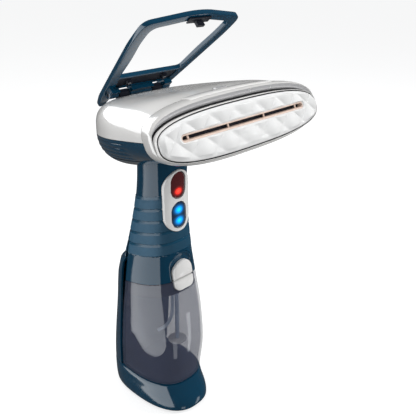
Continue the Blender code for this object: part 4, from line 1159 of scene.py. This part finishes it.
def tongue():
    """Raised white tongue of the top cover that runs forward over the bezel."""
    rings = []
    half = 43.0
    count = 60
    for depth, lift in ((14.6, -0.6), (14.6, 0.55), (13.9, 0.75), (6.4, 0.75), (5.6, 0.5),
                        (5.4, -0.6)):
        upper = []
        lower = []
        grow = 1.5 * max(0.0, 1.0 - (depth - 5.4) / 9.2)
        for step in range(count + 1):
            x = -half - grow + 2 * (half + grow) * step / count
            share = (1.0 - abs(x / 87.6) ** FACE_EXPONENT) ** (1 / FACE_EXPONENT)
            drop = 1.2 * max(0.0, 1.0 - (depth - 4.4) / 6.0) ** 2
            v = (HEAD_UP - 0.7 - drop) * share + SEAM_OFFSET
            edge = min(1.0, (half + grow - abs(x)) / 1.2)
            upper.append(face(x, v + lift * (0.35 + 0.65 * edge), depth))
            lower.append(face(x, v - 0.9, depth))
        rings.append(upper + lower[::-1])
    settle(loft("cover_tongue", rings, "white"), "housing", "white_plastic")


# ---- steam plate ---------------------------------------------------------------------------
class Recipe(Nodes):
    """Geometry Nodes tree with named inputs, given as label, kind and value."""

    def __init__(self, name, *inputs):
        super().__init__(bpy.data.node_groups.new(name, "GeometryNodeTree"))
        sockets = self.tree.interface
        sockets.new_socket("Geometry", in_out="INPUT", socket_type="NodeSocketGeometry")
        for label, kind, value in inputs:
            made = sockets.new_socket(label, in_out="INPUT", socket_type="NodeSocket" + kind)
            made.default_value = value
        sockets.new_socket("Material", in_out="INPUT", socket_type="NodeSocketMaterial")
        sockets.new_socket("Geometry", in_out="OUTPUT", socket_type="NodeSocketGeometry")
        self.start = self.node("NodeGroupInput").outputs
        self.end = self.node("NodeGroupOutput").inputs

    def close(self, geometry):
        """Realize the instances, set the material and end the tree."""
        real = self.add("GeometryNodeRealizeInstances", {0: geometry})
        self.feed(self.end[0], self.add("GeometryNodeSetMaterial", {
            "Geometry": real, "Material": self.start["Material"]}))
        return self.tree


def run_tree(made, tree, finish, **values):
    """Run the tree on the piece with values given by input name, and keep the plain mesh."""
    step = made.modifiers.new(tree.name, "NODES")
    step.node_group = tree
    sockets = {item.name: item.identifier for item in tree.interface.items_tree
               if item.in_out == "INPUT"}
    step[sockets["Material"]] = finish_named(finish)
    for label, value in values.items():
        step[sockets[label]] = value
    return plain(made)


def quilt_tree():
    """Diamonds that swell out of the plate, split by straight creases in two directions."""
    made = Recipe("quilted_plate", ("Pitch", "Float", 0.0245), ("Rise", "Float", 0.001),
                  ("Row height", "Float", 0.02), ("Middle", "Float", 0.3))
    place = made.split(made.add("GeometryNodeInputPosition", {}))
    across = made.math("DIVIDE", place["X"], made.start["Pitch"])
    up = made.math("DIVIDE", made.math("SUBTRACT", place["Z"], made.start["Middle"]),
                   made.start["Row height"])
    height = None
    for sign in (1.0, -1.0):
        line = made.math("MULTIPLY_ADD", up, sign, across)
        wave = made.math("ABSOLUTE", made.math("SINE", made.math("MULTIPLY", line, pi)))
        wave = made.math("POWER", wave, 0.75)
        height = wave if height is None else made.math("MULTIPLY", height, wave)
    mask = made.node("GeometryNodeInputNamedAttribute", data_type="FLOAT")
    mask.inputs[0].default_value = "swell"
    rise = made.math("MULTIPLY", made.math("MULTIPLY", height, made.start["Rise"]),
                     mask.outputs["Attribute"])
    offset = made.add("ShaderNodeCombineXYZ", {
        "Y": made.math("MULTIPLY", rise, -cos(FACE_TILT)),
        "Z": made.math("MULTIPLY", rise, sin(FACE_TILT))})
    return made.close(made.add("GeometryNodeSetPosition", {
        "Geometry": made.start["Geometry"], "Offset": offset}))


SLOT_HALF_LENGTH = 66.6
SLOT_HALF_HEIGHT = 1.9
SLOT_RAISE = 2.0


def slot_outline(grow, count):
    """Points round the steam slot at the same angles as the plate's outline."""
    half_length, half_height = SLOT_HALF_LENGTH + grow, SLOT_HALF_HEIGHT + grow
    straight = half_length - half_height
    points = []
    for step in range(count):
        angle = 2 * pi * (step + 0.5) / count
        rim = (PLATE_HALF_WIDTH * power(cos(angle), 2 / FACE_EXPONENT),
               PLATE_HALF_HEIGHT * power(sin(angle), 2 / FACE_EXPONENT))
        x = rim[0] / PLATE_HALF_WIDTH * half_length
        if abs(x) <= straight:
            v = half_height * (1 if rim[1] >= 0 else -1)
        else:
            beyond = min(half_height, abs(x) - straight)
            v = sqrt(max(0.0, half_height ** 2 - beyond ** 2)) * (1 if rim[1] >= 0 else -1)
        points.append((x, v + SLOT_RAISE))
    return points


def steam_plate():
    count = 300
    rows = []
    swell = []
    slot = slot_outline(0.0, count)
    rim = superellipse(PLATE_HALF_WIDTH - 1.9, PLATE_HALF_HEIGHT - 1.9, FACE_EXPONENT, count)
    rows.append([face(x, v, 5.6) for x, v in slot])
    rows.append([face(x, v, 0.7) for x, v in slot])
    rows.append([face(x, v, 0.25) for x, v in slot_outline(0.3, count)])
    swell += [0.0, 0.0, 0.0]
    steps = 34
    for step in range(steps + 1):
        t = step / steps
        start = slot_outline(0.7, count)
        rows.append([face(a[0] + (b[0] - a[0]) * t, a[1] + (b[1] - a[1]) * t, 0.0)
                     for a, b in zip(start, rim)])
        swell.append(min(1.0, t / 0.10, (1 - t) / 0.12))
    for width, depth in ((1.2, 0.3), (0.75, 0.8), (0.6, 1.4), (0.6, 2.0), (0.6, 5.6)):
        rows.append(face_ring(PLATE_HALF_WIDTH - width, PLATE_HALF_HEIGHT - width, depth, None, 0.0,
                              count))
        swell.append(0.0)
    plate = loft("quilted_plate", rows, "plate", closed=True)
    values = plate.data.attributes.new("swell", "FLOAT", "POINT")
    values.data.foreach_set("value", [value for value in swell for _ in range(count)])
    settings = sizes()
    run_tree(plate, quilt_tree(), "plate", **{
        "Pitch": settings.quilt_pitch, "Rise": settings.quilt_rise, "Row height": 0.0205,
        "Middle": face(0, SLOT_RAISE, 0).z * MM})
    smoothed(plate, 60.0)
    settle(plate, "housing", "plate_coating", "steam_plate")


def bars_tree():
    """Small bars spread evenly along a line."""
    made = Recipe("slot_bars", ("Count", "Int", 4), ("Spacing", "Vector", (0.02, 0, 0)))
    line = made.add("GeometryNodeMeshLine", {
        "Count": made.start["Count"], "Offset": made.start["Spacing"]})
    return made.close(made.add("GeometryNodeInstanceOnPoints", {
        "Points": line, "Instance": made.start["Geometry"]}))


def steam_slot():
    count = 160
    rows = [[face(x, v, depth) for x, v in slot_outline(grow, count)]
            for grow, depth in ((-0.35, 5.6), (-0.35, 0.3), (0.0, -0.05), (0.6, -0.15), (1.0, 0.1),
                                (1.0, 0.6), (0.2, 0.9), (0.0, 5.6))]
    trim = loft("slot_rim", rows, "bronze", closed=True)
    settle(smoothed(trim, 40.0), "housing", "slot_metal", "slot_trim")
    # Dark sheet inside the steam slot: painted shade, so that the inside of the slot reads black.
    back = loft("slot_back", [[face(x, v, depth) for x, v in slot_outline(-0.45, count)]
                              for depth in (4.2, 5.0)], "dark")
    settle(back, "housing", "dark_plastic")
    bars = sizes().slot_bars
    first = face(-SLOT_HALF_LENGTH + 7.0, SLOT_RAISE, 2.4)
    bar = box("slot_bars", (1.6, 1.0, 3.0), turn((0, sin(FACE_TILT), cos(FACE_TILT)), first),
              "bronze", 0.3)
    gap = (2 * SLOT_HALF_LENGTH - 14.0) / (bars - 1)
    run_tree(bar, bars_tree(), "bronze", Count=bars, Spacing=(gap * MM, 0.0, 0.0))
    settle(bar, "housing", "slot_metal")


# ---- hanging loop --------------------------------------------------------------------------
def loop_place(offset=LOOP_OFFSET):
    up = Vector((0, -sin(LOOP_LEAN), cos(LOOP_LEAN)))
    across = Vector((1, 0, 0))
    made = Matrix((across, up.cross(across), up)).transposed().to_4x4()
    made.translation = HINGE
    return made @ Matrix.Translation((0, offset, 0))


def mirrored(half):
    return half + [(-x, z, r) for x, z, r in reversed(half)]


def hanging_loop():
    side = LOOP_HALF_WIDTH - LOOP_BAR
    window_high = LOOP_REACH - 7.6
    rim = rounded(mirrored([
        (25.0, 5.0, 1.0), (24.0, -22.0, 1.0), (30.0, -22.0, 3.0), (35.5, -8.0, 5.0),
        (LOOP_HALF_WIDTH - 9.0, 21.0, 8.0), (LOOP_HALF_WIDTH, 72.0, 10.0),
        (LOOP_HALF_WIDTH, LOOP_REACH - 7.8, 8.0), (8.0, LOOP_REACH, 7.0)]))
    window = rounded(mirrored([
        (side - 7.0, 22.5, 3.0), (side - 4.4, 48.0, 8.0), (side, 70.0, 8.0),
        (side, window_high - 6.0, 6.0), (8.0, window_high, 7.0)]))
    place = loop_place()
    loop = plate_of("loop_frame", [rim, window], 4.0, place, "blue", 0.9)
    pocket = rounded([(-29.35, 7.45, 3.0), (29.35, 7.45, 3.0), (32.35, 20.85, 3.0),
                      (-32.35, 20.85, 3.0)])
    cutter = loft("web_pocket", [[place @ Vector((x, y, z)) for x, z in pocket] for y in (-7.0,
                                                                                          0.4)])
    carved(loop, head_solid("foot_seat", -0.4), cutter)
    across = turn((1, 0, 0)).to_3x3().to_4x4()
    for name, start, end in (("left", -33.0, -24.2), ("middle", -11.8, 11.8),
                             ("right", 24.2, 33.0)):
        at = Matrix.Translation(HINGE + Vector((start, 0, 0)))
        barrel = cylinder("barrel_" + name, 3.1, end - start, at @ across, edge=0.3)
        arm = loft("arm_" + name, [[loop_place(0.0) @ Vector((x, y, z)) for x, z in (
            (start + 0.2, 0.4), (end - 0.2, 0.4), (end - 0.2, 6.2), (start + 0.2, 6.2))]
            for y in (-2.0, 5.35)])
        carved(loop, barrel, arm, operation="UNION")
    bore = cylinder("loop_bore", 1.6, 100.0, Matrix.Translation(HINGE + Vector((-50.0, 0,
                                                                                0))) @ across)
    carved(loop, bore)
    smoothed(loop, 35.0)
    settle(loop, "loop", "blue_plastic", "hanging_frame")
    web = rounded([(-29.0, 7.8, 3.0), (29.0, 7.8, 3.0), (32.0, 20.5, 3.0), (-32.0, 20.5, 3.0)])
    plate = plate_of("loop_web", [web], 1.4, place @ Matrix.Translation((0, -0.65, 0)), "dark", 0.4)
    out = place.to_3x3() @ Vector((0, -1, 0))
    for number, x in enumerate((-19.0, 19.0)):
        spot = place @ Vector((x, -0.95, 14.25))
        carved(plate, cylinder("boss", 3.0, 3.0, turn(out, spot), edge=0.3), operation="UNION")
        carved(plate, cylinder("boss_way", 1.85, 8.0, turn(out, spot + out * -4.0)))
        screw = cylinder("web_screw_%d" % (number + 1), 1.5, 3.4, turn(out, spot + out * -0.4),
                         "steel",
                         sides=32, edge=0.3)
        for angle in (0, pi / 2):
            carved(screw, box("cross", (0.5, 2.0, 1.4), turn(out, spot + out * 3.0)
                              @ Matrix.Rotation(angle, 4, "Z")))
        settle(screw, "loop", "steel", "web_screw_" + ("left", "right")[number])
    settle(plate, "loop", "dark_plastic", "frame_web")
    softened("frame_latch", "dark", "dark_plastic", "loop", 0.4)
    softened("hinge_bracket", "dark", "dark_plastic", "housing", 0.3)
    # The steel pin gets the dark plastic finish: painted shade for the gaps between the hinge
    # barrels.
    pin = cylinder("loop_pin", 1.5, 65.0, Matrix.Translation(HINGE + Vector((-32.5, 0,
                                                                             0))) @ across,
                   "dark", edge=0.3)
    settle(pin, "housing", "steel", "hinge_pin")


# ---- pieces that keep their shape ----------------------------------------------------------
KEPT = {
    "blue": ("base_plate", "bay_wall"),
    "white": ("thermal_fuse",),
    "dark": ("handle_floor", "turbo_switch", "power_switch", "pump_head", "pump_bracket",
             "thermostat"),
    "clear": ("steam_hose", "inlet_hose"),
    "steel": ("release_spring", "pump_motor", "chamber_cover", "heating_element", "chamber_inlet"),
    "casting": ("steam_chamber",),
    "rubber": ("anti_slip_pad", "plate_gasket"),
    "board": ("control_board",),
}


def kept_nodes():
    for finish, names in KEPT.items():
        for name in names:
            mesh = frame["nodes"][name].data
            mesh.materials.clear()
            mesh.materials.append(finish_named(finish))


def gland_tree():
    """Ribs spread round an axis through the origin of the piece."""
    made = Recipe("gland_ribs", ("Count", "Int", 18), ("Radius", "Float", 0.0045),
                  ("Centre", "Vector", (0, 0, 0)))
    circle = made.add("GeometryNodeMeshCircle", {
        "Vertices": made.start["Count"], "Radius": made.start["Radius"]})
    aim = made.node("FunctionNodeAlignEulerToVector", axis="X")
    made.feed(aim.inputs["Vector"], made.add("GeometryNodeInputPosition", {}))
    copies = made.add("GeometryNodeInstanceOnPoints", {
        "Points": circle, "Instance": made.start["Geometry"], "Rotation": aim.outputs[0]})
    return made.close(made.add("GeometryNodeTransform", {
        "Geometry": copies, "Translation": made.start["Centre"], "Rotation": (pi / 2, 0.0, 0.0)}))


def cord_gland():
    start, end = low("cord_gland").y, high("cord_gland").y
    height = DECK_Z + 12.0
    gland = cylinder("gland_sleeve", 4.6, end - start, turn((0, 1, 0), (0, start, height)),
                     "rubber",
                     top=4.1, edge=0.4)
    carved(gland, cylinder("gland_way", 3.0, 30.0, turn((0, 1, 0), (0, start - 5.0, height))))
    settle(gland, "housing", "rubber", "cord_gland")
    rib = box("gland_ribs", (0.5, 0.7, 3.0), turn(), "rubber", 0.15)
    centre = Vector((0, end - 2.2, height)) * MM
    run_tree(rib, gland_tree(), "rubber", Count=sizes().gland_rings, Radius=4.25 * MM,
             Centre=tuple(centre))
    settle(rib, "housing", "rubber")


# ---- stage ---------------------------------------------------------------------------------
def camera():
    elevation, roll = radians(23.5), radians(0.34)
    level = Vector((sin(CAMERA_AZIMUTH), -cos(CAMERA_AZIMUTH), 0))
    back = level * cos(elevation) + Vector((0, 0, sin(elevation)))
    right = Vector((cos(CAMERA_AZIMUTH), sin(CAMERA_AZIMUTH), 0))
    up = back.cross(right)
    view = Matrix((right * cos(roll) + up * sin(roll), up * cos(roll) - right * sin(roll),
                   back)).transposed().to_4x4()
    view.translation = (Vector((61.3, 0, 179.2)) + back * 560.0) * MM
    lens = bpy.data.cameras.new("camera")
    lens.sensor_width = 36.0
    lens.lens = 49.76
    lens.clip_start = 0.01
    made = linked("camera", lens)
    made.matrix_world = view
    bpy.context.scene.camera = made


def lamp(name, place, target, width, height, power_w):
    light = bpy.data.lights.new(name, "AREA")
    light.shape = "RECTANGLE"
    light.size = width
    light.size_y = height
    light.energy = power_w
    made = linked(name, light)
    made.location = place
    made.rotation_euler = (Vector(target) - Vector(place)).to_track_quat("-Z", "Y").to_euler()
    made.visible_glossy = False


def softbox(name, angle, distance, width, bottom, top, strength):
    """Upright panel seen only in reflections, at an angle to the left of the camera's heading."""
    heading = CAMERA_AZIMUTH - radians(angle)
    toward = Vector((sin(heading), -cos(heading), 0))
    side = Vector((toward.y, -toward.x, 0)) * width / 2
    middle = toward * distance
    shape = bmesh.new()
    shape.faces.new([shape.verts.new(middle + side * across + Vector((0, 0, height)))
                     for across, height in ((-1, bottom), (1, bottom), (1, top), (-1, top))])
    glow = Finish(name)
    glow.set(base_color=glow.varied((0.05, 0.05, 0.05), 0.01, 4.0), roughness=1.0, specular=0.0,
             emission=(0.95, 0.98, 1.0, 1.0), glow=by_ray(glow, 0.0, strength, 0.0))
    FINISHES[name] = glow.made
    made = linked(name, mesh_of(name, shape), name)
    for kind in ("camera", "diffuse", "shadow", "transmission"):
        setattr(made, "visible_" + kind, False)


def by_ray(nodes, seen, mirrored_light, scattered):
    """Strength that differs between camera rays, reflections and scattered light."""
    path = nodes.node("ShaderNodeLightPath").outputs
    total = 0.0
    for ray, strength in (("Camera", seen), ("Glossy", mirrored_light), ("Diffuse", scattered)):
        total = nodes.math("MULTIPLY_ADD", path["Is %s Ray" % ray], strength, total)
    return total


def studio():
    bpy.context.scene.view_settings.view_transform = "Standard"
    camera()
    middle = (0.0, 0.0, 0.2)
    lamp("left_lamp", (-0.95, 0.35, 0.55), middle, 0.6, 0.8, 3.0)
    lamp("front_lamp", (0.95, -0.85, 0.75), middle, 0.4, 0.4, 11.0)
    lamp("top_lamp", (-0.15, 0.1, 1.5), middle, 1.1, 1.1, 10.0)
    lamp("right_lamp", (1.1, -0.25, 0.45), middle, 0.22, 1.0, 2.0)
    softbox("left_softbox", 50.0, 0.62, 1.15, -0.45, 0.62, 2.6)
    softbox("rear_softbox", 126.0, 0.62, 0.78, 0.36, 0.95, 2.6)
    softbox("right_softbox", -82.0, 0.60, 0.07, -0.40, -0.12, 2.2)
    softbox("low_softbox", -28.0, 0.75, 0.22, -0.62, -0.32, 1.6)
    world = bpy.data.worlds.new("studio")
    bpy.context.scene.world = world
    world.use_nodes = True
    nodes = Nodes(world.node_tree)
    room = nodes.tree.nodes["Background"]
    room.inputs["Color"].default_value = (0.97, 0.985, 1.0, 1.0)
    nodes.feed(room.inputs["Strength"], by_ray(nodes, 1.1, 0.09, 0.50))
    made = Finish("white_floor")
    made.set(base_color=made.varied((0.42, 0.42, 0.42), 0.01, 4.0), roughness=0.8, specular=0.0,
             emission=(1.0, 1.0, 1.0, 1.0), glow=by_ray(made, 0.72, 0.0, 0.15))
    FINISHES["floor"] = made.made
    shape = bmesh.new()
    bmesh.ops.create_grid(shape, x_segments=4, y_segments=4, size=6.0)
    floor = linked("floor", mesh_of("floor", shape), "floor")
    floor.location.z = -0.0002
    floor.visible_glossy = False


# ---- operators -----------------------------------------------------------------------------
def operator(key, label, about, *makers):
    """Operator class that builds one group of pieces."""
    def execute(self, context):
        for maker in makers:
            maker()
        return {"FINISHED"}
    return type("STEAMER_OT_" + key, (bpy.types.Operator,), {
        "__doc__": about, "bl_idname": "steamer." + key, "bl_label": label, "execute": execute})


STEPS = (
    operator("stage", "Studio", "Camera, lights and floor", studio),
    operator("body", "Foot, spine and grip", "Shells of the handle", base_foot, rear_spine, grip),
    operator("controls", "Controls", "Control panel, buttons and tank latch", controls, latch),
    operator("tank", "Water tank", "Tank, its lid and its fittings", water_tank, tank_fittings),
    operator("head", "Head", "Head shells, bezel and catch", head_shells, latch_catch, front_bezel),
    operator("plate", "Steam plate", "Quilted plate and steam slot", steam_plate, steam_slot),
    operator("loop", "Hanging loop", "Loop, web, hook and hinge", hanging_loop),
    operator("inner", "Inner pieces", "Pieces that keep their shape, and the cord gland",
             kept_nodes, cord_gland),
)


class STEAMER_PT_panel(bpy.types.Panel):
    """Lists the settings and the steps."""
    bl_label = "Garment steamer"
    bl_idname = "STEAMER_PT_panel"
    bl_space_type = "VIEW_3D"
    bl_region_type = "UI"
    bl_category = "Steamer"

    def draw(self, context):
        for step in STEPS:
            self.layout.operator(step.bl_idname)
        for group in (context.scene.steamer_sizes, context.scene.steamer_colours):
            for key in group.__annotations__:
                self.layout.prop(group, key)


CLASSES = (SteamerSizes, SteamerColours, *STEPS, STEAMER_PT_panel)


def register():
    for item in CLASSES:
        bpy.utils.register_class(item)
    bpy.types.Scene.steamer_sizes = PointerProperty(type=SteamerSizes)
    bpy.types.Scene.steamer_colours = PointerProperty(type=SteamerColours)


def unregister():
    del bpy.types.Scene.steamer_colours
    del bpy.types.Scene.steamer_sizes
    for item in reversed(CLASSES):
        bpy.utils.unregister_class(item)


def main():
    register()
    bpy.ops.steamer.stage()
    bpy.ops.steamer.body()
    bpy.ops.steamer.controls()
    bpy.ops.steamer.tank()
    bpy.ops.steamer.head()
    bpy.ops.steamer.plate()
    bpy.ops.steamer.loop()
    bpy.ops.steamer.inner()


if __name__ == "__main__":
    main()
